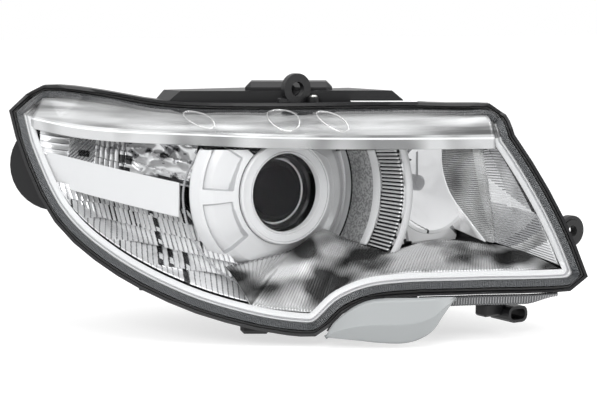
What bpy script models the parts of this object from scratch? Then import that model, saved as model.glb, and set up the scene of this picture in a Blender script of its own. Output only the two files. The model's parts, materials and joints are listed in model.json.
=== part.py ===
"""A car's right-hand headlight with a projector low beam, a bowl high beam and a wrap-round turn signal.

Car frame: -Y is the way the car drives, +X points inboard (towards the grille) and +Z up, in metres.
The lens and the trim that follows it are drawn in the styling frame, whose x runs along the lens,
whose y runs back from the lens and whose z is up. It is the car frame turned by SWEEP about Z.
The optics, the chambers behind them and the aim mechanism are placed in the car frame.
"""

import math

import bmesh
import bpy
from mathutils import Euler, Matrix, Vector

# ---- Styling: the lens outline, seen square to the lens (x, z), and how the lens bends back ----
SWEEP = math.radians(33)  # how far the lens turns round the car's corner
BOW = 0.82  # 1/m, how fast the lens falls back either side of its middle
BOW_SKEW = 0.98  # 1/m2, how much more it falls back outboard
RAKE = 0.32  # how far the lens leans back for each metre of height
CROWN = 0.9  # 1/m, its bow from bottom to top
BOTTOM_EDGE = [(-0.306, 0.080), (-0.292, 0.042), (-0.254, -0.021), (-0.198, -0.065), (-0.120, -0.101),
               (-0.045, -0.1215), (0.006, -0.1285), (0.020, -0.126), (0.045, -0.104), (0.083, -0.092),
               (0.170, -0.090), (0.262, -0.091), (0.280, -0.089), (0.289, -0.080)]
CREASE = [(-0.306, 0.080), (-0.224, 0.069), (-0.120, 0.0645), (0.000, 0.061), (0.217, 0.059)]
TOP_EDGE = [(-0.2930, 0.0935), (-0.2720, 0.1030), (-0.210, 0.097), (-0.150, 0.0885), (-0.090, 0.086),
            (0.110, 0.087), (0.170, 0.0865), (0.198, 0.0865), (0.2075, 0.0790)]
SIDE_BOW = 0.006  # the inboard edge bows out by this much
SHELF_RUN = 0.058  # how far the lens's top shelf runs back from the crease
SHELF_RUN_END = 0.015  # and how far at its two ends
CREASED_TO, ROUNDED_FROM = 0.10, 0.45  # shares of the length where the shoulder is sharp, then round
FACE_ROWS, SHELF_ROWS = 5, 4

# ---- Shells and gaps ----
GAP = 0.0005  # between pieces that touch
LENS_WALL = 0.0025
LENS_SKIRT = 0.012  # the lens's edge runs this far back into the housing's channel
SEAL_DEPTH = 0.006  # room for the seal behind the skirt
HOUSING_WALL = 0.003
LIP = 0.006  # the housing's lip stands this far outside the lens
TRIM_WALL = 0.002

# ---- Trim behind the lens ----
BORDER_OUTSET, BORDER_WIDTH, BORDER_DEPTH = 0.0075, 0.009, 0.009
VISOR_DEPTH = 0.007  # below the lens's shelf
VISOR_DROP = 0.010  # the visor's lip hangs this far below the crease

# ---- Optics, in the car frame: (x, z) of each optical axis ----
LOW_X, LOW_Z = 0.0205, 0.0010
HIGH_X, HIGH_Z = 0.190, 0.002
RING_Y = 0.054  # front of the ring round the projector
RING_HOLE, RING_RIM = 0.041, 0.0542
SURROUND_BASE, SURROUND_LENGTH = 0.094, 0.038
TUBE_Y, TUBE_RADIUS = 0.066, 0.0385  # the projector's lens holder
GLASS_RADIUS, GLASS_CROWN = 0.031, 0.019
CARRIER_Y, CARRIER_WALL = 0.101, 0.005
DIVIDER_RADIUS, DIVIDER_Y = 0.116, -0.004  # front edge of the wall between the chambers
DIVIDER_BACK_RADIUS, DIVIDER_BACK_Y = 0.0975, 0.088
BOWL_RADIUS, BOWL_NECK, BOWL_Y, BOWL_DEPTH = 0.049, 0.016, 0.026, 0.066

# ---- Rear chambers, in the car frame: (x from, x to, z from, z to, back y) ----
LOW_BOX = (-0.056, 0.084, -0.070, 0.104, 0.206)
HIGH_BOX = (0.1415, 0.251, -0.074, 0.087, 0.146)
BRIDGE_BOX = (0.066, 0.152, -0.072, 0.1045, 0.128)
BOX_FRONT_Y = -0.045
BOX_EDGE = 0.010
LOW_FACE, HIGH_FACE = 0.108, 0.125  # depth in the styling frame at which the boxes' front is trimmed
BULGE = (-0.2635, 0.022, 0.050, 0.142, 0.168)  # outboard bulge: x, z, radius, depth from, depth to (styling)
HUMP = (-0.057, 0.036, 0.115, 0.165, 0.1135)  # raised roof: x from, to, depth from, to, top z (styling)
LOW_COVER_RADIUS, HIGH_COVER_RADIUS = 0.052, 0.043
COVER_COLLAR = 0.008  # the collar stands this far out of the wall
COVER_DEPTH = 0.014

# ---- Aim mechanism, in the car frame ----
PIVOT = Vector((0.124, 0.107, 0.060))
LEVEL_DROP = 0.075  # the levelling ball sits this far below the pivot
SIDE_REACH = 0.112  # the side adjuster's ball sits this far inboard of the pivot
BALL = 0.005
SOCKET = 0.0085
SOCKET_GAP = 0.0004
ROD = 0.003

# ---- Fixings ----
EYE_HOLE, EYE_RIM, EYE_WALL = 0.0078, 0.0165, 0.0070
EYE = Vector((0.052, 0.085, 0.1065))  # centre of the upper fixing eye, in the car frame
EYE_DROP = 0.0150  # from the eye's centre down to where its web ends in the rim
ROOF_BOSS = Vector((0.0685, 0.0765, 0.0975))  # top of the screw boss beside the eye
EAR_HOLE, EAR_RIM, EAR_WALL = 0.0060, 0.0165, 0.010
EAR = Vector((0.2955, -0.0745, -0.0440))  # centre of the inboard fixing ear, in the car frame


# ------------------------------------------------------------------ scene and materials
def clear_scene():
    for old in list(bpy.data.objects):
        bpy.data.objects.remove(old)


def collection(name):
    made = bpy.data.collections.new(name)
    bpy.context.scene.collection.children.link(made)
    return made


def material(name, colour, roughness, metallic=0.0, transmission=0.0):
    made = bpy.data.materials.new(name)
    made.use_nodes = True
    made.diffuse_color = (*colour, 1.0 - 0.7 * transmission)
    shader = made.node_tree.nodes["Principled BSDF"]
    shader.inputs["Base Color"].default_value = (*colour, 1)
    shader.inputs["Roughness"].default_value = roughness
    shader.inputs["Metallic"].default_value = metallic
    shader.inputs["Transmission Weight"].default_value = transmission
    return made


def make_materials():
    return {
        "black": material("black plastic", (0.022, 0.022, 0.024), 0.48),
        "rubber": material("rubber", (0.012, 0.012, 0.012), 0.75),
        "clear": material("clear polycarbonate", (0.95, 0.97, 0.98), 0.03, transmission=1.0),
        "glass": material("optical glass", (0.80, 0.84, 0.86), 0.02, transmission=0.9),
        "chrome": material("chromed trim", (0.90, 0.90, 0.91), 0.08, metallic=1.0),
        "satin": material("satin silver trim", (0.86, 0.86, 0.86), 0.35, metallic=0.3),
        "grey": material("grey visor", (0.42, 0.42, 0.43), 0.35),
        "primer": material("primed cover", (0.56, 0.58, 0.60), 0.45),
        "steel": material("zinc-plated steel", (0.62, 0.62, 0.60), 0.35, metallic=1.0),
        "natural": material("natural nylon", (0.80, 0.79, 0.74), 0.45),
        "label": material("blank label", (0.92, 0.92, 0.92), 0.5),
        "amber": material("silvered amber bulb", (0.75, 0.55, 0.35), 0.15, metallic=0.6),
    }


# ------------------------------------------------------------------ curves in the styling frame
def height_on(points, x):
    """Height of the smooth curve through (x, z) points whose x only rises, as a cubic between slopes."""
    x = min(max(x, points[0][0]), points[-1][0])
    i = max(k for k in range(len(points) - 1) if points[k][0] <= x)

    def slope(k):
        before, after = points[max(k - 1, 0)], points[min(k + 1, len(points) - 1)]
        return (after[1] - before[1]) / (after[0] - before[0])

    (x0, z0), (x1, z1) = points[i], points[i + 1]
    width = x1 - x0
    t = (x - x0) / width
    rise = (2 * t**3 - 3 * t**2 + 1) * z0 + (3 * t**2 - 2 * t**3) * z1
    return rise + width * ((t**3 - 2 * t**2 + t) * slope(i) + (t**3 - t**2) * slope(i + 1))


def lens_depth(x, z):
    """How far back the lens's face lies at (x, z)."""
    return BOW * x**2 - BOW_SKEW * x**3 + RAKE * z + CROWN * z**2


def smooth_step(low, high, value):
    """0 at low and beyond it, 1 at high and beyond it. low may be the larger."""
    t = min(max((value - low) / (high - low), 0), 1)
    return t * t * (3 - 2 * t)


def stretch(start, end, count, gather=1.0):
    """count values from start towards end, without the end. gather over 1 packs them near the start."""
    return [start + (end - start) * (i / count) ** gather for i in range(count)]


def columns():
    """The x of each lens column on the bottom edge: closer together at the tip and round the notch."""
    left, right = BOTTOM_EDGE[0][0], BOTTOM_EDGE[-1][0]
    return [*stretch(left, -0.01, 13, 1.4), *stretch(-0.01, 0.09, 8), *stretch(0.09, 0.262, 5),
            *stretch(0.262, right, 2), right]


def shares():
    """How far along the lens each column is, from 0 to 1."""
    left, right = BOTTOM_EDGE[0][0], BOTTOM_EDGE[-1][0]
    return [(x - left) / (right - left) for x in columns()]


def along(points, share):
    """The point on a curve at this share of its width."""
    x = points[0][0] + share * (points[-1][0] - points[0][0])
    return x, height_on(points, x)


def face_point(share, v):
    """A point on the lens's face, v from 0 at the bottom edge to 1 at the crease."""
    (x0, z0), (x1, z1) = along(BOTTOM_EDGE, share), along(CREASE, share)
    x = x0 + (x1 - x0) * v + SIDE_BOW * 4 * v * (1 - v) * share**6
    z = z0 + (z1 - z0) * v
    return Vector((x, lens_depth(x, z), z))


def shelf_run(share):
    """How far the shelf runs back at this share of the lens's length."""
    full = smooth_step(0.0, 0.16, share) * smooth_step(1.0, 0.80, share)
    return SHELF_RUN_END + (SHELF_RUN - SHELF_RUN_END) * full


def shelf_point(share, w):
    """A point on the lens's top shelf, w from 0 at the crease to 1 at the top edge."""
    (x0, z0), (x1, z1) = along(CREASE, share), along(TOP_EDGE, share)
    rounded = smooth_step(CREASED_TO, ROUNDED_FROM, share)
    turn = w * math.pi / 2
    rise = w + (math.sin(turn) - w) * rounded
    back = w + (1 - math.cos(turn) - w) * rounded
    return Vector((x0 + (x1 - x0) * w, lens_depth(x0, z0) + shelf_run(share) * back, z0 + (z1 - z0) * rise))


def lens_column(share):
    """The points of one lens column, from the bottom edge over the crease to the top edge."""
    face = [face_point(share, row / FACE_ROWS) for row in range(FACE_ROWS + 1)]
    return face + [shelf_point(share, (row + 1) / SHELF_ROWS) for row in range(SHELF_ROWS)]


def edge_loop():
    """The lens's edge, once round: along the bottom, up the inboard side, back along the top."""
    grid = [lens_column(share) for share in shares()]
    bottom = [column[0] for column in grid]
    top = [column[-1] for column in reversed(grid)]
    outboard = list(reversed(grid[0][FACE_ROWS + 1:-1]))
    return bottom + grid[-1][1:-1] + top + outboard


def distance_to(point, start, end):
    """Distance in the x-z plane from a point to the line between two others."""
    p, a, b = (Vector((v.x, v.z)) for v in (point, start, end))
    share = min(max((p - a).dot(b - a) / (b - a).length_squared, 0), 1)
    return (p - a.lerp(b, share)).length


def offset_loop(loop, outward, deeper=0.0):
    """The loop moved outward in the x-z plane, and back by deeper. Far inward, tight corners are cut."""
    count = len(loop)
    moved = []
    for i, here in enumerate(loop):
        before, after = loop[i - 1], loop[(i + 1) % count]
        n0 = Vector((here.z - before.z, before.x - here.x)).normalized()
        n1 = Vector((after.z - here.z, here.x - after.x)).normalized()
        mitre = (n0 + n1) / max(1 + n0.dot(n1), 0.7)
        moved.append(here + Vector((mitre.x * outward, deeper, mitre.y * outward)))
    if outward > -0.004:
        return moved
    nearest = [min(distance_to(p, loop[k - 1], loop[k]) for k in range(count)) for p in moved]
    sound = [i for i in range(count) if nearest[i] > abs(outward) - 0.0003]
    for start, end in zip(sound, sound[1:] + [sound[0] + count]):
        for i in range(start + 1, end):
            moved[i % count] = moved[start].lerp(moved[end % count], (i - start) / (end - start))
    return moved


# ------------------------------------------------------------------ objects
class Builder:
    """Makes the objects, with the collections, frames and materials that they share."""

    def __init__(self):
        self.parts = collection("headlight")
        self.cutters = collection("headlight_cutters")
        self.looks = make_materials()
        self.car = self.empty("car_frame", None)
        self.styling = self.empty("styling_frame", self.car)
        self.styling.rotation_euler = (0, 0, -SWEEP)

    def empty(self, name, parent):
        made = bpy.data.objects.new(name, None)
        self.parts.objects.link(made)
        made.parent = parent
        return made

    def add(self, name, mesh, look, frame, at=(0, 0, 0), turn=(0, 0, 0)):
        """An object for this mesh, placed in the frame. A look of None makes it a cutter."""
        made = bpy.data.objects.new(name, mesh)
        made.parent = frame
        made.location = at
        made.rotation_euler = turn
        if look is None:
            self.cutters.objects.link(made)
            made.hide_render = True
            made.display_type = "WIRE"
        else:
            self.parts.objects.link(made)
            mesh.materials.append(self.looks[look])
        return made


def mesh_of(name, points, faces, merge=1e-6):
    """A mesh of these points and faces, with doubled points merged and its faces pointing out."""
    mesh = bpy.data.meshes.new(name)
    mesh.from_pydata([tuple(p) for p in points], [], faces)
    work = bmesh.new()
    work.from_mesh(mesh)
    bmesh.ops.remove_doubles(work, verts=work.verts, dist=merge)
    bmesh.ops.recalc_face_normals(work, faces=work.faces)
    work.to_mesh(mesh)
    work.free()
    return mesh


def primitive(name, make, **settings):
    """A mesh made by one of bmesh's primitives."""
    mesh = bpy.data.meshes.new(name)
    work = bmesh.new()
    make(work, **settings)
    work.to_mesh(mesh)
    work.free()
    return mesh


def solidify(obj, thickness, offset=-1.0):
    shell = obj.modifiers.new("wall", "SOLIDIFY")
    shell.thickness = thickness
    shell.offset = offset
    shell.use_even_offset = True
    return obj


def bevel(obj, width, segments=1, angle=50):
    rounding = obj.modifiers.new("rounded edges", "BEVEL")
    rounding.width = width
    rounding.segments = segments
    rounding.limit_method = "ANGLE"
    rounding.angle_limit = math.radians(angle)
    return obj


def combine(obj, other, operation, crossing=False):
    """A Boolean with another object. crossing is for a mesh whose own faces cross."""
    joined = obj.modifiers.new(operation.lower(), "BOOLEAN")
    joined.operation = operation
    joined.object = other
    joined.use_self = crossing
    return obj


def smooth(obj, angle=35):
    obj.data.shade_smooth()
    obj.data.set_sharp_from_angle(angle=math.radians(angle))
    return obj


def box(build, name, look, low, high, edge=0.0, frame=None):
    """A box between two corners, its object at its middle."""
    low, high = Vector(low), Vector(high)
    size = high - low
    mesh = primitive(name, bmesh.ops.create_cube, size=1.0, matrix=Matrix.Diagonal((*size, 1)))
    made = build.add(name, mesh, look, frame or build.car, (low + high) / 2)
    return bevel(made, edge) if edge else made


def cylinder(build, name, look, radius, depth, at, turn=(0, 0, 0), sides=24, top=None, frame=None):
    """A cylinder, or a cone if top is given, along its own z and centred on its object."""
    mesh = primitive(name, bmesh.ops.create_cone, cap_ends=True, segments=sides, radius1=radius,
                     radius2=radius if top is None else top, depth=depth)
    return smooth(build.add(name, mesh, look, frame or build.car, at, turn))


FORWARD = (math.pi / 2, 0, 0)  # turns an object's own z to the car's -Y


def turned(build, name, look, profile, at, turn=FORWARD, steps=22, closed=True, frame=None):
    """A solid turned about its own z from an (r, z) profile. A closed profile is a ring's section."""
    mesh = bpy.data.meshes.new(name)
    count = len(profile)
    edges = [(i, i + 1) for i in range(count - 1)] + ([(count - 1, 0)] if closed else [])
    mesh.from_pydata([(r, 0, z) for r, z in profile], edges, [])
    made = build.add(name, mesh, look, frame or build.car, at, turn)
    lathe = made.modifiers.new("lathe", "SCREW")
    lathe.steps = lathe.render_steps = steps
    lathe.use_merge_vertices = True
    lathe.merge_threshold = 1e-5
    lathe.use_smooth_shade = True
    return made


def close_profile(obj):
    """Joins the last point of a turned object's profile to its first."""
    edges = obj.data.edges
    edges.add(1)
    edges[-1].vertices = (len(obj.data.vertices) - 1, 0)


def turned_shell(build, name, look, profile, wall, at, start=0, sweep=360, steps=18, turn=FORWARD):
    """A thin wall turned through sweep degrees from the start angle, which is 0 at inboard and 90 up."""
    spin = Euler(turn).to_matrix() @ Euler((0, 0, math.radians(start))).to_matrix()
    made = turned(build, name, look, profile, at, spin.to_euler(), steps, closed=False)
    lathe = made.modifiers["lathe"]
    lathe.angle = math.radians(sweep)
    lathe.use_merge_vertices = sweep == 360
    return solidify(made, wall)


def grid_mesh(name, rows):
    """An open sheet over rows of points."""
    wide = len(rows[0])
    points = [p for row in rows for p in row]
    faces = [(i * wide + j, i * wide + j + 1, (i + 1) * wide + j + 1, (i + 1) * wide + j)
             for i in range(len(rows) - 1) for j in range(wide - 1)]
    return mesh_of(name, points, faces)


def face_forward(mesh):
    """Turns a sheet's faces to look forward, -y, so that a wall grows behind it."""
    total = sum((face.normal * face.area for face in mesh.polygons), Vector())
    if total.y > 0:
        mesh.flip_normals()
    return mesh


def sheet(build, name, look, rows, wall):
    """A thin wall whose front face is the sheet over these rows of styling-frame points."""
    made = build.add(name, face_forward(grid_mesh(name, rows)), look, build.styling)
    return smooth(solidify(made, wall))


def band_mesh(name, loops):
    """A closed ring whose section joins these loops in turn."""
    count = len(loops[0])
    points = [p for loop in loops for p in loop]
    faces = []
    for k in range(len(loops)):
        a, b = k * count, ((k + 1) % len(loops)) * count
        faces += [(a + i, a + (i + 1) % count, b + (i + 1) % count, b + i) for i in range(count)]
    return mesh_of(name, points, faces)


def tub_mesh(name, loops):
    """A closed body through these loops, with a fan of faces over its front and its back."""
    count = len(loops[0])
    points = [p for loop in loops for p in loop]
    faces = []
    for k in range(len(loops) - 1):
        a, b = k * count, (k + 1) * count
        faces += [(a + i, a + (i + 1) % count, b + (i + 1) % count, b + i) for i in range(count)]
    for loop, first in ((loops[0], 0), (loops[-1], (len(loops) - 1) * count)):
        points.append(sum(loop, Vector()) / count)
        faces += [(first + i, first + (i + 1) % count, len(points) - 1) for i in range(count)]
    return mesh_of(name, points, faces)


# ------------------------------------------------------------------ lens, seal and housing
def make_lens(build):
    """The clear lens: its face and shelf in one sheet with a skirt round its edge."""
    grid = [lens_column(share) for share in shares()]
    wide = len(grid[0])
    points = [p for column in grid for p in column]
    faces = [(i * wide + j, (i + 1) * wide + j, (i + 1) * wide + j + 1, i * wide + j + 1)
             for i in range(len(grid) - 1) for j in range(wide - 1)]
    loop = edge_loop()
    back = offset_loop(loop, 0, LENS_SKIRT)
    first = len(points)
    count = len(loop)
    points += loop + back
    faces += [(first + i, first + count + i, first + count + (i + 1) % count, first + (i + 1) % count)
              for i in range(count)]
    made = build.add("lens", face_forward(mesh_of("lens", points, faces)), "clear", build.styling)
    return smooth(solidify(made, LENS_WALL))


def make_seal(build):
    """The soft sealing bead round the lens's skirt, which fills the housing's channel."""
    loop = edge_loop()
    front, back = 0.004, LENS_SKIRT + 0.5 * SEAL_DEPTH
    inner, outer = 0.0004, LIP - HOUSING_WALL - 0.0008
    section = [(outer, front), (outer, back), (inner, back), (inner, front)]
    loops = [offset_loop(loop, out, deep) for out, deep in section]
    return smooth(build.add("lens_seal", band_mesh("lens_seal", loops), "rubber", build.styling))


def drawn_in(loop, size, depth, follow, least):
    """The loop shrunk towards its middle, at a depth that follows the lens's edge only partly."""
    return [Vector((p.x * size - 0.010 * (1 - size), max(depth + follow * p.y, p.y + least), p.z * size))
            for p in loop]


def tub_loops(grow, front):
    """The housing's main shell, grow outside its inner face; front is where it starts."""
    loop = edge_loop()
    channel = LENS_SKIRT + SEAL_DEPTH + GAP
    mouth = offset_loop(loop, LIP - HOUSING_WALL + grow)
    return [
        [p + Vector((0, front, 0)) for p in mouth],
        [p + Vector((0, channel + grow, 0)) for p in mouth],
        drawn_in(mouth, 0.95, channel + grow, 1.0, 0.004 + channel + grow),
        drawn_in(mouth, 0.80, 0.128 + grow, 0.3, 0.012 + channel + grow),
    ]


def trim_front(build, made, depth):
    """Takes off what a cutter has in front of this depth in the styling frame."""
    front = box(build, f"{made.name}_front", None, (-0.5, -0.4, -0.3), (0.5, depth, 0.3), 0, build.styling)
    return combine(made, front, "DIFFERENCE")


def chamber(build, name, sizes, shrink):
    """One of the boxes behind the lens, as a cutter; shrink makes the space inside it."""
    left, right, low, high, back = sizes
    made = box(build, name, None, (left + shrink, BOX_FRONT_Y + shrink, low + shrink),
               (right - shrink, back - shrink, high - shrink), BOX_EDGE)
    face = HIGH_FACE if sizes == HIGH_BOX else LOW_FACE
    return trim_front(build, made, face + shrink)


def make_bulge(build, shrink):
    """The round bulge at the outboard end, as a cutter. Its space stays behind the lens's channel."""
    x, z, radius, front, back = BULGE
    front, back = front + (0.020 if shrink else 0), back - shrink
    return cylinder(build, f"bulge_{shrink * 1000:.0f}", None, radius - shrink, back - front,
                    (x, (front + back) / 2, z), FORWARD, 36, frame=build.styling)


def make_hump(build, shrink):
    """The raised part of the roof behind the upper eye, as a cutter."""
    left, right, front, back, top = HUMP
    return box(build, f"hump_{shrink * 1000:.0f}", None, (left + shrink, front + shrink, 0.05),
               (right - shrink, back - shrink, top - shrink), 0.006, build.styling)


def make_housing(build):
    """The black rear shell: a tub that follows the lens, with three boxes behind it, all hollow."""
    made = build.add("housing", tub_mesh("housing", tub_loops(HOUSING_WALL, 0.003)), "black", build.styling)
    space = build.add("housing_space", tub_mesh("housing_space", tub_loops(0.0, -0.012)), None, build.styling)
    boxes = {"low": LOW_BOX, "high": HIGH_BOX, "bridge": BRIDGE_BOX}
    for name, sizes in boxes.items():
        combine(made, chamber(build, f"{name}_box", sizes, 0.0), "UNION")
    combine(made, make_hump(build, 0.0), "UNION")
    combine(made, make_bulge(build, 0.0), "UNION")
    add_collars(build, made)
    add_lugs(build, made)
    combine(made, space, "DIFFERENCE")
    for name, sizes in boxes.items():
        combine(made, chamber(build, f"{name}_space", sizes, HOUSING_WALL), "DIFFERENCE")
    combine(made, make_channel(build), "DIFFERENCE")
    combine(made, make_hump(build, HOUSING_WALL), "DIFFERENCE")
    combine(made, make_bulge(build, HOUSING_WALL), "DIFFERENCE")
    cut_housing_holes(build, made)
    return made


def make_channel(build):
    """The channel round the housing's mouth that takes the lens's skirt, the seal and the bezel's border."""
    outer = LIP - HOUSING_WALL - 0.0002
    inner = -BORDER_OUTSET - BORDER_WIDTH - 0.0008
    back = LENS_SKIRT + SEAL_DEPTH + GAP - 0.0002
    section = [(outer, -0.014), (outer, back), (inner, back), (inner, -0.014)]
    loops = [offset_loop(edge_loop(), out, deep) for out, deep in section]
    return build.add("channel", band_mesh("channel", loops), None, build.styling)


def cover_seats():
    """(name, x, z, back y, radius) of each round cover on the back of the housing."""
    return [("low", LOW_X, LOW_Z, LOW_BOX[4], LOW_COVER_RADIUS),
            ("high", HIGH_X, HIGH_Z, HIGH_BOX[4], HIGH_COVER_RADIUS)]


def add_collars(build, housing):
    """Round collars that the rear covers plug into, and the turn lamp's boss."""
    for name, x, z, back, radius in cover_seats():
        collar = cylinder(build, f"{name}_collar", None, radius, COVER_COLLAR + 0.006,
                          (x, back + COVER_COLLAR / 2 - 0.003, z), FORWARD, 28)
        combine(housing, collar, "UNION")
    combine(housing, cylinder(build, "turn_boss", None, TURN_BOSS, TURN_BOSS_LENGTH, TURN_HOLDER,
                              FORWARD, 20, frame=build.styling), "UNION")


def add_lugs(build, housing):
    """The lug under the housing, the small tab outboard of it, and the inboard ear on its arm."""
    lug = box(build, "lug", None, (-0.0600, 0.026, -0.142), (-0.0290, 0.038, -0.100), 0.004, build.styling)
    tab = box(build, "tab", None, (-0.1650, 0.042, -0.099), (-0.1560, 0.050, -0.070), 0.001, build.styling)
    arm = box(build, "ear_arm", None, EAR - Vector((0.050, EAR_WALL / 2 - 0.002, 0.013)),
              EAR + Vector((-0.006, EAR_WALL / 2 - 0.002, 0.013)), 0.001)
    eye = cylinder(build, "ear_eye", None, EAR_RIM, EAR_WALL - 0.002, EAR, FORWARD, 32)
    for piece in (lug, tab, arm, eye, *make_upper_eye(build)):
        combine(housing, piece, "UNION")


def make_upper_eye(build):
    """The upper fixing eye with its web and the screw boss beside it, as cutters."""
    half = EYE_WALL / 2
    eye = cylinder(build, "upper_eye", None, EYE_RIM, EYE_WALL, EYE, FORWARD, 32)
    low = EYE.z - EYE_DROP
    web = box(build, "eye_web", None, (EYE.x - 0.022, EYE.y - half + 0.0005, low),
              (EYE.x + 0.022, EYE.y + half - 0.0005, EYE.z - 0.009), 0.001)
    boss = cylinder(build, "roof_boss", None, 0.0062, 0.016, ROOF_BOSS - Vector((0, 0, 0.008)), sides=20)
    return eye, web, boss


def cut_housing_holes(build, housing):
    """The openings for the rear covers, the turn lamp, the adjusters and the levelling rod."""
    for name, x, z, back, radius in cover_seats():
        hole = cylinder(build, f"{name}_opening", None, radius - 0.005, 0.040, (x, back, z), FORWARD, 28)
        combine(housing, hole, "DIFFERENCE")
    combine(housing, cylinder(build, "turn_hole", None, TURN_HOLE, 0.060, TURN_HOLDER, FORWARD, 20,
                              frame=build.styling), "DIFFERENCE")
    combine(housing, cylinder(build, "eye_hole", None, EYE_HOLE, 0.04, EYE, FORWARD, 28), "DIFFERENCE")
    bore = cylinder(build, "ear_bore", None, EAR_RIM - 0.0035, 0.04, EAR, FORWARD, 28)
    parking = cylinder(build, "parking_hole", None, PARKING_HOLE, 0.03, PARKING, FORWARD, 20)
    combine(housing, bore, "DIFFERENCE")
    combine(housing, parking, "DIFFERENCE")
    for name, where in (("level_hole", level_ball()), ("side_hole", side_ball())):
        hole = cylinder(build, name, None, ROD + 0.0015, 0.090, where + Vector((0, 0.045, 0)), FORWARD, 20)
        combine(housing, hole, "DIFFERENCE")


# ------------------------------------------------------------------ trim behind the lens
def make_border(build):
    """The white rim of the bezel that follows the lens's edge."""
    loop = edge_loop()
    wide, deep = BORDER_OUTSET + BORDER_WIDTH, BORDER_DEPTH
    section = [(-BORDER_OUTSET, deep - 0.003), (-wide, deep), (-wide, deep + TRIM_WALL),
               (-BORDER_OUTSET, deep + TRIM_WALL - 0.003)]
    loops = [offset_loop(loop, out, back) for out, back in section]
    return smooth(build.add("bezel_border", band_mesh("bezel_border", loops), "satin", build.styling))


def visor_point(share, w):
    """A point on the visor: under the shelf for w from 0 to 1, and its hanging lip below 0."""
    point = shelf_point(share, max(w, 0.0))
    rounded = smooth_step(CREASED_TO, ROUNDED_FROM, share)
    below = Vector((0, VISOR_DEPTH * (1 - 0.5 * max(w, 0)), -VISOR_DEPTH * (0.35 + 0.5 * max(w, 0)) * rounded
                    - 0.0045 * (1 - rounded)))
    return point + below + Vector((0, 0.002, VISOR_DROP * min(w, 0.0)))


def make_visor(build):
    """The grey visor under the lens's top shelf, with a lip along its front."""
    picked = [0.10 + 0.86 * i / 16 for i in range(17)]
    rows = [[visor_point(share, w) for share in picked] for w in (-1.0, 0.0, 0.2, 0.4, 0.62, 0.86)]
    made = build.add("visor", grid_mesh("visor", rows), "grey", build.styling)
    if sum((face.normal.z + -face.normal.y) for face in made.data.polygons) < 0:
        made.data.flip_normals()
    return smooth(solidify(made, TRIM_WALL))


def low_axis(y):
    """A point on the projector's optical axis."""
    return Vector((LOW_X, y, LOW_Z))


def high_axis(y):
    """A point on the high beam's optical axis."""
    return Vector((HIGH_X, y, HIGH_Z))


SURROUND_TOP, SURROUND_FLOOR = 0.040, -0.078  # the surround is trimmed level at these heights


def make_surround(build):
    """The satin cone round the projector, trimmed level under the visor and above the lens's floor."""
    profile = [(RING_RIM + 0.0006, -0.0048), (0.062, -0.009), (0.078, -0.016), (0.089, -0.027),
               (SURROUND_BASE, -SURROUND_LENGTH)]
    made = turned_shell(build, "projector_surround", "satin", profile, TRIM_WALL, low_axis(RING_Y), steps=30)
    reach = SURROUND_BASE + 0.02
    keep = box(build, "surround_keep", None, (LOW_X - reach, 0.0, SURROUND_FLOOR),
               (LOW_X + reach, 0.2, SURROUND_TOP))
    combine(made, keep, "INTERSECT")
    return made


def make_surround_clearance(build):
    """The space that the surround takes up, which its neighbours are cut back to."""
    profile = [(0, 0.004), (RING_RIM + 0.002, 0.004), (RING_RIM + 0.003, -0.002), (0.065, -0.006),
               (0.081, -0.012), (0.093, -0.024), (SURROUND_BASE + 0.004, -0.060), (0, -0.060)]
    return turned(build, "surround_clearance", None, profile, low_axis(RING_Y), steps=36, closed=False)


def make_ring(build):
    """The flat ring round the projector, with a rolled inner edge."""
    section = [(RING_HOLE + 0.003, 0.001), (RING_HOLE + 0.006, 0.002), (RING_RIM - 0.003, 0.001),
               (RING_RIM, -0.0035), (RING_RIM - 0.002, -0.0055), (RING_HOLE + 0.003, -0.003),
               (RING_HOLE + 0.002, -0.007), (RING_HOLE, -0.007), (RING_HOLE, -0.002)]
    return turned(build, "projector_ring", "satin", section, low_axis(RING_Y + 0.0005), steps=26)


FLOOR_BACK = [(-0.076, 0.042, -0.074), (-0.010, 0.060, -0.060), (0.024, 0.070, -0.040),
              (0.052, 0.074, -0.050), (0.094, 0.072, -0.071), (0.140, 0.098, -0.059), (0.178, 0.092, -0.0565),
              (0.203, 0.072, -0.055)]
FLOOR_LEFT, FLOOR_RIGHT = 0.44, 0.955  # shares of the lens's length between which the floor runs


def curve_through(points, count):
    """count points along the smooth curve through these points."""
    found = []
    for k in range(count):
        t = k / (count - 1) * (len(points) - 1)
        i = min(int(t), len(points) - 2)
        p0, p1, p2, p3 = (points[min(max(i + j, 0), len(points) - 1)] for j in (-1, 0, 1, 2))
        t -= i
        found.append(Vector([0.5 * (2 * b + (c - a) * t + (2 * a - 5 * b + 4 * c - d) * t * t
                                    + (3 * b - a - 3 * c + d) * t**3)
                             for a, b, c, d in zip(p0, p1, p2, p3)]))
    return found


def floor_front(count):
    """The front edge of the floor panel, just inside the border."""
    inside = BORDER_OUTSET + BORDER_WIDTH
    found = []
    for k in range(count):
        share = FLOOR_LEFT + (FLOOR_RIGHT - FLOOR_LEFT) * k / (count - 1)
        x, z = along(BOTTOM_EDGE, share)
        lift = inside + 0.001 + 0.010 * smooth_step(0.05, 0.0, abs(x - 0.012) - 0.012)
        found.append(Vector((x, lens_depth(x, z + lift) + BORDER_DEPTH + 0.004, z + lift)))
    return found


def make_floor(build):
    """The fluted floor between the border and the lamps, cut back where the surround stands."""
    front, back = floor_front(25), curve_through(FLOOR_BACK, 25)
    rows = [[a.lerp(b, t) + Vector((0, 0, 0.004 * math.sin(math.pi * t))) for a, b in zip(front, back)]
            for t in (0, 0.25, 0.5, 0.75, 1)]
    made = sheet(build, "floor_panel", "chrome", rows, TRIM_WALL)
    return combine(made, build.clearance, "DIFFERENCE")


WALL_FROM, WALL_TO = -34, 23  # degrees about the projector's axis, 0 at inboard


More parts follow.
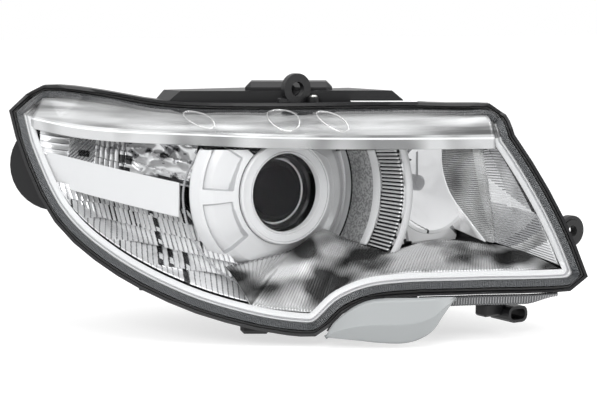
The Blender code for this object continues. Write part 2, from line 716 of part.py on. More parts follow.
def make_divider(build):
    """The wall between the two chambers: a plain back, a fluted crescent and a white front rib."""
    sweep = WALL_TO - WALL_FROM
    axis = low_axis(DIVIDER_Y)
    split = 0.42  # the share of the wall's depth where the flutes start
    length = DIVIDER_BACK_Y - DIVIDER_Y
    middle = DIVIDER_RADIUS + (DIVIDER_BACK_RADIUS - DIVIDER_RADIUS) * split
    back = [(DIVIDER_BACK_RADIUS, -length), (middle - 0.003, -length * split - GAP)]
    front = [(middle, -length * split), (DIVIDER_RADIUS - 0.002, -0.0090)]
    turned_shell(build, "chamber_wall", "chrome", back, TRIM_WALL, axis, WALL_FROM, sweep, 16)
    turned_shell(build, "fluted_crescent", "chrome", front, TRIM_WALL, axis, WALL_FROM, sweep, 16)
    rib = [(DIVIDER_RADIUS - 0.003, -0.004), (DIVIDER_RADIUS + 0.004, -0.001)]
    turned_shell(build, "arc_rib", "satin", rib, 0.003, axis, WALL_FROM, sweep, 16)


BLADE_LEFT = [(0.160, 0.088, 0.046), (0.160, 0.086, 0.022), (0.172, 0.083, -0.004), (0.188, 0.078, -0.030),
              (0.199, 0.074, -0.052)]
BLADE_RIGHT = [(0.190, 0.062, 0.046), (0.195, 0.062, 0.022), (0.199, 0.062, -0.004), (0.203, 0.063, -0.030),
               (0.206, 0.066, -0.052)]


def make_blade(build):
    """The fluted blade that closes the high beam's chamber on its inboard side."""
    left, right = curve_through(BLADE_LEFT, 9), curve_through(BLADE_RIGHT, 9)
    rows = [[a.lerp(b, t) + Vector((0, -0.006 * math.sin(math.pi * t), 0)) for a, b in zip(left, right)]
            for t in (0, 0.33, 0.67, 1)]
    return sheet(build, "fluted_blade", "chrome", rows, TRIM_WALL)


def make_side_panel(build):
    """The folded panel between the blade and the inboard border."""
    count = 9
    inside = BORDER_OUTSET + BORDER_WIDTH + 0.002
    near = []
    for k in range(count):
        point = face_point(1.0, 0.12 + 0.80 * k / (count - 1))
        near.append(point + Vector((-inside, BORDER_DEPTH + 0.004, 0)))
    far = [p + Vector((0.004, 0.002, 0)) for p in reversed(curve_through(BLADE_RIGHT, count))]
    fold = [a.lerp(b, 0.5) + Vector((0, 0.010, 0)) for a, b in zip(near, far)]
    return sheet(build, "side_panel", "chrome", [near, fold, far], TRIM_WALL)


# The white bar across the turn lamp: (x, top z, bottom z) at its outboard and its inboard end.
BAR_OUTBOARD, BAR_INBOARD = (-0.273, 0.0400, 0.0075), (-0.1225, 0.013, -0.021)
BAR_SLANT = 0.017  # its outboard end leans in by this much towards the bottom
TURN_RIGHT = -0.116  # inboard side of the turn lamp's chamber
BAR_DEPTH, BAR_TIP_DEPTH, TURN_DEPTH = 0.024, 0.019, 0.056  # behind the lens's face


def bar_edge(x, which):
    """Height of the white bar's top (1) or bottom (2) edge at x."""
    share = (x - BAR_OUTBOARD[0]) / (BAR_INBOARD[0] - BAR_OUTBOARD[0])
    return BAR_OUTBOARD[which] + share * (BAR_INBOARD[which] - BAR_OUTBOARD[which])


def border_height(x):
    """Height of the border's inner edge above the lens's bottom edge at x, on the outboard sweep."""
    ahead = 0.004
    rise = (height_on(BOTTOM_EDGE, x + ahead) - height_on(BOTTOM_EDGE, x - ahead)) / (2 * ahead)
    return height_on(BOTTOM_EDGE, x) + (BORDER_OUTSET + BORDER_WIDTH + 0.002) * math.hypot(1, rise)


def make_turn_lamp(build):
    """The turn lamp's chamber: an upper and a lower reflector, and the white bar across their joint."""
    def behind(x, z, depth):
        return Vector((x, lens_depth(x, z) + depth, z))

    wide = 12
    bar = []
    for t in (0, 0.5, 1):
        left = BAR_OUTBOARD[0] + (1 - t) * BAR_SLANT
        row = []
        for i in range(wide + 1):
            x = left + (BAR_INBOARD[0] - left) * i / wide
            depth = BAR_TIP_DEPTH + (BAR_DEPTH - BAR_TIP_DEPTH) * smooth_step(-0.272, -0.235, x)
            row.append(behind(x, bar_edge(x, 2) + t * (bar_edge(x, 1) - bar_edge(x, 2)), depth))
        bar.append(row)
    sheet(build, "turn_bar", "satin", bar, 0.004)
    upper_xs = [-0.244 + (TURN_RIGHT - 0.006 + 0.244) * i / wide for i in range(wide + 1)]
    upper = [[behind(x, bar_edge(x, 1) - 0.008 + t * (height_on(CREASE, x) - 0.010 - bar_edge(x, 1) + 0.008),
                     TURN_DEPTH + 0.012 * t) for x in upper_xs] for t in (0, 0.33, 0.67, 1)]
    sheet(build, "turn_reflector_upper", "chrome", upper, TRIM_WALL)
    low_xs = [-0.222 + (TURN_RIGHT + 0.042 + 0.222) * i / wide for i in range(wide + 1)]
    lower = []
    for t in (0, 0.33, 0.67, 1):
        row = []
        for x in low_xs:
            top = bar_edge(min(x, TURN_RIGHT), 2) + 0.006 - max(x - TURN_RIGHT, 0)
            low = min(border_height(x), top - 0.004)
            row.append(behind(x, low + t * (top - low), TURN_DEPTH + 0.004))
        lower.append(row)
    made = sheet(build, "turn_reflector_lower", "chrome", lower, TRIM_WALL)
    ahead = TURN_HOLDER - Vector((0, 0.060, 0))
    hole = cylinder(build, "turn_bulb_hole", None, 0.014, 0.060, ahead, FORWARD, 24, frame=build.styling)
    combine(bpy.data.objects["turn_reflector_upper"], hole, "DIFFERENCE")
    combine(made, hole, "DIFFERENCE")
    combine(made, build.clearance, "DIFFERENCE")


DIVIDING_RIB = [(-0.099, 0.050, 0.048), (-0.115, 0.045, 0.020), (-0.118, 0.040, -0.010),
                (-0.108, 0.036, -0.045), (-0.084, 0.034, -0.075), (-0.052, 0.030, -0.094)]


def make_dividing_rib(build):
    """The thin serrated rib where the turn lamp's chamber meets the projector's surround."""
    line = curve_through(DIVIDING_RIB, 16)
    data = bpy.data.curves.new("dividing_rib", "CURVE")
    data.dimensions = "3D"
    data.bevel_depth = 0.0013
    data.bevel_resolution = 1
    data.use_fill_caps = True
    spline = data.splines.new("POLY")
    spline.points.add(len(line) - 1)
    for point, place in zip(spline.points, line):
        point.co = (*place, 1)
    made = bpy.data.objects.new("dividing_rib", data)
    build.parts.objects.link(made)
    made.parent = build.styling
    data.materials.append(build.looks["clear"])
    return made


# ------------------------------------------------------------------ optics on the carrier
def make_projector(build):
    """The projector: glass, its holder, the ellipsoid reflector, the cut-off shield and the bulb."""
    tube, glass = TUBE_RADIUS, GLASS_RADIUS
    holder = [(tube, 0.0), (tube, -0.020), (tube - 0.001, CARRIER_FRONT), (glass + 0.0015, CARRIER_FRONT),
              (glass + 0.0015, -0.0225), (glass - 0.002, -0.0225), (glass - 0.002, -0.0205),
              (glass + 0.0018, -0.0205), (glass + 0.0030, -0.004), (tube - 0.0015, 0.0)]
    turned(build, "lens_holder", "black", holder, low_axis(TUBE_Y), steps=22)
    glass_back = -0.0198
    arc = [(glass * math.sin(a), glass_back + 0.003 + GLASS_CROWN * math.cos(a))
           for a in (math.radians(18 * i) for i in range(1, 6))]
    crown = [(0, glass_back + 0.003 + GLASS_CROWN)] + arc + [(glass, glass_back), (0, glass_back)]
    turned(build, "projector_lens", "glass", crown, low_axis(TUBE_Y), steps=22, closed=False)
    # The reflector is half an ellipsoid from the carrier back to the bulb's neck.
    long, wide, neck = 0.062, 0.036, 0.0115
    angles = [math.radians(a) for a in (90, 75, 60, 45, 32)]
    outer = [(wide * math.sin(a) + 0.002, -long * math.cos(a)) for a in angles]
    inner = [(wide * math.sin(a), -long * math.cos(a) + 0.001) for a in reversed(angles)]
    start = CARRIER_Y + CARRIER_WALL + GAP
    end = outer[-1][1]
    bowl = [(wide + 0.007, 0.0), (wide + 0.007, -0.003), (wide + 0.002, -0.003), *outer[1:],
            (neck + 0.009, end - 0.004), (neck + 0.003, end - 0.007), (neck, end - 0.007),
            (neck, end - 0.001), *inner[:-1], (wide, 0.0)]
    turned(build, "projector_reflector", "chrome", bowl, low_axis(start), steps=22)
    shield = box(build, "cutoff_shield", "steel", (LOW_X - 0.0245, CARRIER_Y + 0.0015, LOW_Z - 0.0235),
                 (LOW_X + 0.0245, CARRIER_Y + 0.0028, LOW_Z - 0.001))
    step = box(build, "shield_step", None, (LOW_X, CARRIER_Y - 0.01, LOW_Z - 0.004),
               (LOW_X + 0.04, CARRIER_Y + 0.01, 0.02))
    combine(shield, step, "DIFFERENCE")
    return start + long * math.cos(angles[-1]) + 0.007


def make_bulb(build, name, axis, seat, plug_name):
    """A halogen bulb in its seat: the glass capsule with its metal base, then the plug behind it."""
    capsule = [(0, 0.044), (0.003, 0.0435), (0.0050, 0.041), (0.0058, 0.037), (0.0058, 0.014),
               (0.0065, 0.013), (0.0100, 0.013), (0.0100, 0.002), (0.0150, 0.002), (0.0150, -0.0005),
               (0.0105, -0.0005), (0.0105, -0.008), (0, -0.008)]
    turned(build, name, "glass", capsule, axis(seat + 0.0025), steps=14, closed=False)
    low = axis(seat + 0.0025 + 0.0085)
    box(build, plug_name, "natural", low - Vector((0.011, 0, 0.008)), low + Vector((0.011, 0.017, 0.008)),
        0.002)


CARRIER_FRONT = -(CARRIER_Y - GAP - TUBE_Y)  # the holder's back face, from the holder's own origin


def level_ball():
    return PIVOT - Vector((0, 0, LEVEL_DROP))


def side_ball():
    return PIVOT + Vector((SIDE_REACH, 0, 0))


def make_carrier(build):
    """The frame that carries both lamps and hangs on three ball joints."""
    middle = CARRIER_Y + CARRIER_WALL / 2
    front, back = CARRIER_Y, CARRIER_Y + CARRIER_WALL
    made = cylinder(build, "carrier_frame", "black", 0.050, CARRIER_WALL, (LOW_X, middle, LOW_Z), FORWARD, 28)
    # Each bar is (x from, x to, z from, z to).
    bars = [(LOW_X, HIGH_X, -0.012, 0.014), (PIVOT.x - 0.012, PIVOT.x + 0.012, PIVOT.z - LEVEL_DROP - 0.012,
             PIVOT.z + 0.012), (PIVOT.x, PIVOT.x + SIDE_REACH + 0.0105, PIVOT.z - 0.012, PIVOT.z + 0.011),
            (LOW_X - 0.010, PIVOT.x, PIVOT.z - 0.018, PIVOT.z - 0.002)]
    for i, (x0, x1, z0, z1) in enumerate(bars):
        combine(made, box(build, f"carrier_bar_{i}", None, (x0, front + i * 0.00002, z0),
                          (x1, back - i * 0.00002, z1)), "UNION")
    combine(made, cylinder(build, "high_hub", None, 0.032, CARRIER_WALL - 0.0001, (HIGH_X, middle, HIGH_Z),
                           FORWARD, 28), "UNION")
    combine(made, cylinder(build, "low_bore", None, 0.0345, 0.02, (LOW_X, middle, LOW_Z), FORWARD, 28),
            "DIFFERENCE")
    combine(made, cylinder(build, "high_bore", None, BOWL_NECK + 0.0035, 0.02, (HIGH_X, middle, HIGH_Z),
                           FORWARD, 32), "DIFFERENCE")
    for name, ball in (("pivot_bore", PIVOT), ("level_bore", level_ball()), ("side_bore", side_ball())):
        combine(made, cylinder(build, name, None, SOCKET + SOCKET_GAP, 0.03, ball, FORWARD, 24), "DIFFERENCE")
    return made


def make_bowl(build):
    """The high beam's bowl reflector, whose neck is seated in the carrier."""
    steps = 4
    neck_y = CARRIER_Y - BOWL_Y + CARRIER_WALL
    inner = []
    for i in range(steps + 1):
        r = BOWL_RADIUS + (BOWL_NECK - BOWL_RADIUS) * i / steps
        inner.append((r, -BOWL_DEPTH * (BOWL_RADIUS**2 - r**2) / (BOWL_RADIUS**2 - BOWL_NECK**2)))
    wall = 0.0025
    outer = [(r + wall, z - wall * 0.6) for r, z in inner]
    section = [(BOWL_RADIUS + 0.004, 0.0), (BOWL_RADIUS + 0.004, -0.002), *outer[1:-1],
               (BOWL_NECK + wall + 0.0005, -BOWL_DEPTH - 0.001), (BOWL_NECK + wall + 0.0005, -neck_y),
               (BOWL_NECK - 0.003, -neck_y), (BOWL_NECK - 0.003, -BOWL_DEPTH - 0.001), *reversed(inner)]
    turned(build, "high_beam_reflector", "chrome", section, high_axis(BOWL_Y), steps=24)
    return BOWL_Y + neck_y


def make_bulb_hood(build):
    """The dark cap in front of the high beam's bulb, on its thin wire stem."""
    cap = [(0, 0.004), (0.006, 0.003), (0.0085, 0.000), (0.0090, -0.014), (0.0080, -0.014), (0.0072, -0.001),
           (0, 0.001)]
    made = turned(build, "high_bulb_hood", "grey", cap, high_axis(0.052), steps=18, closed=False)
    stem = box(build, "hood_stem", None, (HIGH_X - 0.001, 0.0545, HIGH_Z + 0.0078),
               (HIGH_X + 0.001, 0.0560, HIGH_Z + 0.034))
    return combine(made, stem, "UNION")


def make_bulb_clip(build, seat):
    """The wire clip that holds the low beam's bulb in its seat, hinged below the neck."""
    reach, low = 0.0125, 0.020
    y = seat + 0.0048
    left, right, top, bottom = LOW_X - reach, LOW_X + reach, LOW_Z + 0.017, LOW_Z - low
    route = [(left, y, top), (left, y, bottom), (right, y, bottom), (right, y, top)]
    data = bpy.data.curves.new("low_bulb_clip", "CURVE")
    data.dimensions = "3D"
    data.bevel_depth = 0.0008
    data.bevel_resolution = 2
    data.use_fill_caps = True
    spline = data.splines.new("POLY")
    spline.points.add(len(route) - 1)
    pivot = Vector((LOW_X, y, LOW_Z - low))
    for point, place in zip(spline.points, route):
        point.co = (*(Vector(place) - pivot), 1)
    made = bpy.data.objects.new("low_bulb_clip", data)
    build.parts.objects.link(made)
    made.parent = build.car
    made.location = pivot
    data.materials.append(build.looks["steel"])
    return made


# ------------------------------------------------------------------ aim mechanism
def make_socket(build, name, ball):
    """A snap-in nylon socket round a ball, open at the back for the stud."""
    gap = BALL + SOCKET_GAP
    angles = [math.radians(a) for a in (-25, 0, 30, 60)]
    section = [(0, 0.0105), (SOCKET, 0.0105), (SOCKET, -0.006), (gap - 0.0006, -0.006),
               *((gap * math.cos(a), gap * math.sin(a)) for a in angles), (0, gap)]
    return turned(build, name, "natural", section, ball, steps=14, closed=False)


def ball_stud(reach, flange=0.0):
    """Half section of a ball on a rod that runs back by reach, with a flange at its end."""
    rod_angle = math.asin(ROD / BALL)
    angles = [math.radians(a) for a in (0, 30, 60, 90, 120)]
    ball = [(BALL * math.sin(a), BALL * math.cos(a)) for a in angles]
    neck = (ROD, -BALL * math.cos(rod_angle))
    end = [(ROD, -reach)]
    if flange:
        end = [(ROD, -reach + 0.003), (flange, -reach + 0.003), (flange, -reach)]
    return [(0, BALL), *ball[1:], neck, *end, (0, -reach)]


def make_aim_parts(build):
    """Three ball studs with their sockets, the levelling motor and the two adjusters."""
    wall = BRIDGE_BOX[4]
    make_socket(build, "pivot_socket", PIVOT)
    make_socket(build, "levelling_socket", level_ball())
    make_socket(build, "side_socket", side_ball())
    inside = wall - HOUSING_WALL - GAP
    turned(build, "pivot_stud", "steel", ball_stud(inside - PIVOT.y, 0.007), PIVOT, steps=14, closed=False)
    turned(build, "levelling_rod", "natural", ball_stud(0.036), level_ball(), steps=14, closed=False)
    back = HIGH_BOX[4]
    reach = back + 0.0085 - PIVOT.y
    turned(build, "side_stud", "natural", ball_stud(reach), side_ball(), steps=14, closed=False)
    ball = level_ball()
    motor = box(build, "levelling_motor", "black", (ball.x - 0.021, wall + GAP, ball.z - 0.027),
                (ball.x + 0.0165, wall + 0.046, ball.z + 0.024), 0.004)
    rear, front = (ball.x, wall + 0.049, ball.z), (ball.x, wall + 0.010, ball.z)
    gearbox = cylinder(build, "motor_gearbox", None, 0.0175, 0.012, rear, FORWARD, 28)
    bore = cylinder(build, "motor_bore", None, ROD + 0.0004, 0.060, front, FORWARD, 20)
    combine(motor, gearbox, "UNION")
    combine(motor, bore, "DIFFERENCE")
    make_knob(build, "vertical_adjuster", (ball.x, wall + 0.0555, ball.z), 0.0110, 0.0)
    make_knob(build, "side_adjuster", (side_ball().x, back + GAP, side_ball().z), 0.0105, ROD + 0.0004)


def make_knob(build, name, at, radius, bore):
    """A toothed adjuster wheel with a hexagonal boss for a spanner, bored if a stud runs into it."""
    depth = 0.008
    boss = 0.009
    x, y, z = at
    made = cylinder(build, name, "natural", radius, depth, (x, y + depth / 2, z), FORWARD, 36)
    boss_at = (x, y + depth + boss / 2 - 0.0005, z)
    hexagon = cylinder(build, f"{name}_hexagon", None, 0.0062, boss, boss_at, FORWARD, 6)
    combine(made, hexagon, "UNION")
    teeth = 12
    for i in range(teeth):
        turn = 2 * math.pi * i / teeth
        rim = (x + radius * math.cos(turn), y + depth / 2, z + radius * math.sin(turn))
        notch = cylinder(build, f"{name}_notch_{i}", None, 0.0016, 0.020, rim, FORWARD, 6)
        combine(made, notch, "DIFFERENCE")
    if bore:
        hole = cylinder(build, f"{name}_bore", None, bore, 0.027, at, FORWARD, 20)
        combine(made, hole, "DIFFERENCE")
    return made


# ------------------------------------------------------------------ rear covers and the turn lamp's holder
def make_covers(build):
    """The two plug-in rear covers with their rubber seals."""
    for name, x, z, back, radius in cover_seats():
        face = back + COVER_COLLAR
        plug = radius - 0.0085
        seal = [(radius - 0.0052 - GAP, -0.002), (radius - 0.0052 - GAP, -0.006), (plug + 0.0003, -0.006),
                (plug + 0.0003, -0.002)]
        turned(build, f"{name}_cover_seal", "rubber", [(r, z0 + 0.010) for r, z0 in seal],
               (x, face, z), steps=24)
        rim = radius + 0.002
        cap = [(plug, 0.012), (plug, -GAP), (rim, -GAP), (rim, -0.004), (rim - 0.004, -COVER_DEPTH),
               (0, -COVER_DEPTH), (0, -COVER_DEPTH + 0.003), (rim - 0.009, -COVER_DEPTH + 0.003),
               (plug - 0.003, -0.004), (plug - 0.003, 0.012)]
        made = turned(build, f"{name}_beam_cover", "black", cap, (x, face, z), steps=24, closed=False)
        close_profile(made)
        grip = box(build, f"{name}_grip", None, (x - radius * 0.62, face + COVER_DEPTH - 0.001, z - 0.004),
                   (x + radius * 0.62, face + COVER_DEPTH + 0.011, z + 0.004), 0.0015)
        combine(made, grip, "UNION")


TURN_HOLDER = Vector((-0.187, 0.160, 0.008))  # centre of the turn lamp's boss, in the styling frame
TURN_BOSS, TURN_BOSS_LENGTH, TURN_HOLE = 0.024, 0.034, 0.0185


def make_turn_holder(build):
    """The turn lamp's twist-in holder with its bulb."""
    back = -TURN_BOSS_LENGTH / 2 - GAP
    holder = [(TURN_HOLE - 0.0006, 0.018), (TURN_HOLE - 0.0006, back), (0.0235, back), (0.0235, back - 0.004),
              (0.013, back - 0.006), (0.013, back - 0.020), (0, back - 0.020), (0, 0.006), (0.0098, 0.006),
              (0.0098, 0.018)]
    made = turned(build, "turn_bulb_holder", "black", holder, TURN_HOLDER, steps=22, closed=False,
                  frame=build.styling)
    close_profile(made)
    grip = box(build, "turn_grip", None, TURN_HOLDER + Vector((-0.020, -back + 0.004, -0.003)),
               TURN_HOLDER + Vector((0.020, -back + 0.014, 0.003)), 0.001, build.styling)
    combine(made, grip, "UNION")
    bulb = [(0, 0.052), (0.006, 0.051), (0.0105, 0.0475), (0.0128, 0.042), (0.0128, 0.037), (0.0085, 0.027),
            (0.0085, 0.0075), (0, 0.0075)]
    turned(build, "turn_bulb", "amber", bulb, TURN_HOLDER, steps=18, closed=False, frame=build.styling)


PARKING = Vector((0.213, 0.146, 0.053))  # centre of the parking lamp's hole in the high box's back wall
PARKING_HOLE = 0.0085


def make_parking_lamp(build):
    """The small parking bulb in its push-in holder, above and inboard of the high beam's bowl."""
    holder = [(PARKING_HOLE - GAP, 0.008), (PARKING_HOLE - GAP, -GAP), (0.0115, -GAP), (0.0115, -0.003),
              (0.0075, -0.004), (0.0075, -0.013), (0, -0.013), (0, 0.003), (0.0054, 0.003), (0.0054, 0.008)]
    made = turned(build, "parking_bulb_holder", "black", holder, PARKING, steps=14, closed=False)
    close_profile(made)
    bulb = [(0, 0.026), (0.003, 0.0252), (0.0049, 0.022), (0.0049, 0.0035), (0, 0.0035)]
    turned(build, "parking_bulb", "glass", bulb, PARKING, steps=12, closed=False)


def make_screws(build):
    """The screw in the roof boss."""
    head = [(0, 0.0022), (0.0030, 0.0020), (0.0045, 0.0008), (0.0045, 0.0), (0, 0.0)]
    turned(build, "roof_screw", "steel", head, ROOF_BOSS + Vector((0, 0, GAP)), (0, 0, 0), 12, closed=False)


# ------------------------------------------------------------------ fixings and outside fittings
def make_inboard_bush(build):
    """The rubber bush in the inboard fixing ear."""
    bush = EAR_RIM - 0.0035 - GAP
    half = EAR_WALL / 2
    section = [(bush, half), (bush, -half), (EAR_HOLE, -half), (EAR_HOLE, half)]
    turned(build, "inboard_bush", "rubber", section, EAR, steps=22)


LOWER_FOOT = Vector((0.2090, -0.0777, -0.1225))  # middle of the lower fixing sleeve, in the car frame


def rounded_tube(build, name, look, at, wide, tall, long):
    """A bar along the car with an oval section, wide and tall being its half sizes."""
    made = box(build, name, look, at - Vector((wide, long, tall)), at + Vector((wide, long, tall)))
    weights = made.data.attributes.new("bevel_weight_edge", "FLOAT", "EDGE")
    for edge in made.data.edges:
        start, end = (made.data.vertices[i].co for i in edge.vertices)
        weights.data[edge.index].value = float(abs(start.y - end.y) > long)
    rounding = bevel(made, tall * 0.8, 3)
    rounding.modifiers["rounded edges"].limit_method = "WEIGHT"
    return made


def make_lower_bracket(build):
    """The lower fixing: an oval sleeve along the car, on an arm under the housing."""
    at = LOWER_FOOT
    made = rounded_tube(build, "lower_bracket", "black", at, 0.0125, 0.0085, 0.016)
    arm = box(build, "sleeve_arm", None, (at.x - 0.034, at.y - 0.004, at.z - 0.002),
              (at.x - 0.005, at.y + 0.0135, at.z + 0.0120), 0.002)
    combine(made, arm, "UNION")
    slot = rounded_tube(build, "sleeve_slot", None, at, 0.0095, 0.0055, 0.040)
    return combine(made, slot, "DIFFERENCE")


def floor_edge(share, drop):
    """A point under the lens's bottom edge."""
    x, z = along(BOTTOM_EDGE, share)
    return Vector((x, lens_depth(x, z), z - drop))


def make_lower_flange(build):
    """The ribbed clear strip under the inboard half of the lens."""
    count = 13
    rows = []
    for t in (0, 0.5, 1):
        row = []
        for k in range(count):
            share = 0.72 + 0.24 * k / (count - 1)
            tail = smooth_step(0.90, 0.96, share)
            point = floor_edge(share, LIP + 0.0024 + (0.0100 - 0.007 * tail) * t)
            row.append(point + Vector((0, 0.006 + 0.004 * t, 0)))
        rows.append(row)
    return sheet(build, "lower_flange", "clear", rows, 0.003)


# The washer cover's outline in the styling frame, from its outboard tip over the top to the bottom.
COVER_TOP = [(0.0265, -0.1325), (0.036, -0.1190), (0.0505, -0.1070), (0.0655, -0.0995), (0.080, -0.0965),
             (0.120, -0.0955), (0.156, -0.0945)]
COVER_BOTTOM = [(0.0265, -0.1335), (0.060, -0.1365), (0.080, -0.1385), (0.103, -0.1390), (0.1200, -0.1350),
                (0.1340, -0.1260), (0.1440, -0.1120), (0.156, -0.0960)]
COVER_OUT = 0.012  # the washer cover's crest stands this far in front of its edge
COVER_FACE = -0.026  # depth of the cover's edge


def make_washer(build):
    """The headlamp washer's painted cover on its telescopic ram, and the guide it slides out of."""
    count = 15
    rows = []
    for t in (0, 0.25, 0.5, 0.75, 1):
        row = []
        for k in range(count):
            share = k / (count - 1)
            (x, low), (_, high) = along(COVER_BOTTOM, share), along(COVER_TOP, share)
            z = low + (high - low) * t
            ends = math.sin(math.pi * min(max(share, 0.02), 0.98)) ** 0.5
            bulge = COVER_OUT * (1 - abs(2 * t - 0.9)) * ends
            row.append(Vector((x, COVER_FACE - bulge + 0.25 * (z + 0.115), z)))
        rows.append(row)
    sheet(build, "washer_cover", "primer", rows, 0.0025)
    ram = WASHER_RAM
    section = [(0, 0.0240), (0.0055, 0.0240), (0.0055, -0.060), (0, -0.060)]
    turned(build, "washer_ram", "natural", section, ram, steps=14, closed=False, frame=build.styling)
    guide = [(0.012, 0.0), (0.012, -0.070), (0, -0.070), (0, -0.067), (0.0062, -0.067), (0.0062, 0.0)]
    made = turned(build, "washer_guide", "black", guide, WASHER_RAM + Vector((0, 0.012, 0)), steps=18,
                  closed=False, frame=build.styling)
    close_profile(made)
    foot = box(build, "guide_foot", None, WASHER_RAM + Vector((-0.030, 0.030, 0.006)),
               WASHER_RAM + Vector((0.030, 0.050, 0.016)), 0.001, build.styling)
    return combine(made, foot, "UNION")


WASHER_RAM = Vector((0.092, -0.006, -0.1180))


LABEL = (0.055, 0.0900, 0.0934), (0.125, 0.1060, 0.0938)  # opposite corners, in the styling frame


def make_outside_fittings(build):
    """The main connector, the breather cap, the blank label and the outboard rear tab."""
    x, z = LOW_BOX[1] - 0.030, 0.072
    back = LOW_BOX[4]
    socket = box(build, "main_connector", "black", (x - 0.017, back + GAP, z - 0.010),
                 (x + 0.017, back + 0.020, z + 0.010), 0.0015)
    combine(socket, box(build, "connector_space", None, (x - 0.0145, back + 0.006, z - 0.0075),
                        (x + 0.0145, back + 0.030, z + 0.0075)), "DIFFERENCE")
    vent = [(0, 0.0), (0.009, 0.0), (0.009, -0.006), (0.007, -0.009), (0, -0.009)]
    turned(build, "breather_cap", "rubber", vent, (HIGH_BOX[0] + 0.022, HIGH_BOX[4] + GAP, 0.082), steps=14,
           closed=False)
    low, high = LABEL
    box(build, "label", "label", low, high, frame=build.styling)


def main():
    clear_scene()
    build = Builder()
    make_lens(build)
    make_seal(build)
    make_housing(build)
    make_border(build)
    make_visor(build)
    make_surround(build)
    build.clearance = make_surround_clearance(build)
    make_ring(build)
    make_floor(build)
    make_divider(build)
    make_blade(build)
    make_side_panel(build)
    make_turn_lamp(build)
    make_dividing_rib(build)
    low_seat = make_projector(build)
    make_bulb(build, "low_beam_bulb", low_axis, low_seat, "low_bulb_plug")
    high_seat = make_bowl(build)
    make_bulb(build, "high_beam_bulb", high_axis, high_seat, "high_bulb_plug")
    make_bulb_hood(build)
    make_bulb_clip(build, low_seat)
    make_carrier(build)
    make_aim_parts(build)
    make_covers(build)
    make_turn_holder(build)
    make_parking_lamp(build)
    make_screws(build)
    make_inboard_bush(build)
    make_lower_bracket(build)
    make_lower_flange(build)
    make_washer(build)
    make_outside_fittings(build)
    build.car.location = -ORIGIN
    bpy.context.view_layer.update()


ORIGIN = EYE + Vector((0, EYE_WALL / 2, (EYE_HOLE + EYE_RIM) / 2))  # on the eye's rear face, above its hole

main()
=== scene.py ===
"""The looks of a car's right-hand headlight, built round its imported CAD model.

The styling frame has x along the lens, y back from it and z up. It is the car frame turned by SWEEP
about Z. Both are moved by -ORIGIN, which puts the CAD model's origin at its upper fixing eye. The trim
that follows the lens is drawn in the styling frame, and the optics are placed in the car frame.
"""

import json
import math

import bmesh
import bpy
from mathutils import Matrix, Vector, noise

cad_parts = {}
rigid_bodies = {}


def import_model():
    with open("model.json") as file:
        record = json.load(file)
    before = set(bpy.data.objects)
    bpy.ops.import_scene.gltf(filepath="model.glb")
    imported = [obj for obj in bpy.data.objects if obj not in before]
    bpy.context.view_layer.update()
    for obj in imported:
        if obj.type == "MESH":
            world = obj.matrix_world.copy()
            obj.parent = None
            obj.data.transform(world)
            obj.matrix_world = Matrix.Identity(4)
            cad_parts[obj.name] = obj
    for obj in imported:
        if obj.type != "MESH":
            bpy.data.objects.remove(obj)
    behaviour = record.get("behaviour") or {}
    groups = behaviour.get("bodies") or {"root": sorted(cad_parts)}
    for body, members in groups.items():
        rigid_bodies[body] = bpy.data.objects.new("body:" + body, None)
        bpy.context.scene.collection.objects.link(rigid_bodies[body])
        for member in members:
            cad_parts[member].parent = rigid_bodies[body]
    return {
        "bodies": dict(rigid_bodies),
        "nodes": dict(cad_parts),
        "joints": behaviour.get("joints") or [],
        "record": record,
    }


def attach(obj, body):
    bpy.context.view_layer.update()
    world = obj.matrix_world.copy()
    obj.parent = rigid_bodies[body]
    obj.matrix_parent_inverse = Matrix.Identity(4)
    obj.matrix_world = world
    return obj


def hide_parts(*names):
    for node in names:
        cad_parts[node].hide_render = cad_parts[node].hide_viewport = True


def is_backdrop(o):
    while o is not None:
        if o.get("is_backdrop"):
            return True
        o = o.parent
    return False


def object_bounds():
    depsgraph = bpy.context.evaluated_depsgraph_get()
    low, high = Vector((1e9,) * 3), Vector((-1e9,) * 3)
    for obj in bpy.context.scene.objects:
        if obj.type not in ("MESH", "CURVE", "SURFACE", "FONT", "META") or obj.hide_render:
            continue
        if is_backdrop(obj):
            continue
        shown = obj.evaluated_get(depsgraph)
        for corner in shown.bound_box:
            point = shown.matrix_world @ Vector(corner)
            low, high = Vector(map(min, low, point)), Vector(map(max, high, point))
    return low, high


# ---- the lens's form, in the styling frame (metres) ----
SWEEP = math.radians(33)
ORIGIN = Vector((0.052, 0.0885, 0.11865))
BOW, BOW_SKEW, RAKE, CROWN = 0.82, 0.98, 0.32, 0.9
BOTTOM_EDGE = [(-0.306, 0.080), (-0.292, 0.042), (-0.254, -0.021), (-0.198, -0.065), (-0.120, -0.101),
               (-0.045, -0.1215), (0.006, -0.1285), (0.020, -0.126), (0.045, -0.104), (0.083, -0.092),
               (0.170, -0.090), (0.262, -0.091), (0.280, -0.089), (0.289, -0.080)]
CREASE = [(-0.306, 0.080), (-0.224, 0.069), (-0.120, 0.0645), (0.000, 0.061), (0.217, 0.059)]
TOP_EDGE = [(-0.2930, 0.0935), (-0.2720, 0.1030), (-0.210, 0.097), (-0.150, 0.0885), (-0.090, 0.086),
            (0.110, 0.087), (0.170, 0.0865), (0.198, 0.0865), (0.2075, 0.0790)]
SIDE_BOW = 0.006
SHELF_RUN, SHELF_RUN_END = 0.058, 0.015
CREASED_TO, ROUNDED_FROM = 0.10, 0.45
LENS_WALL, LENS_SKIRT = 0.0022, 0.012
BORDER_OUTSET, BORDER_WIDTH, BORDER_DEPTH = 0.0075, 0.009, 0.009
VISOR_DEPTH, VISOR_DROP = 0.007, 0.010
VISOR_START, VISOR_SPAN, VISOR_COLUMNS = 0.035, 0.938, 118  # shares of the lens's length
COLUMNS, FACE_ROWS, SHELF_ROWS = 150, 14, 14

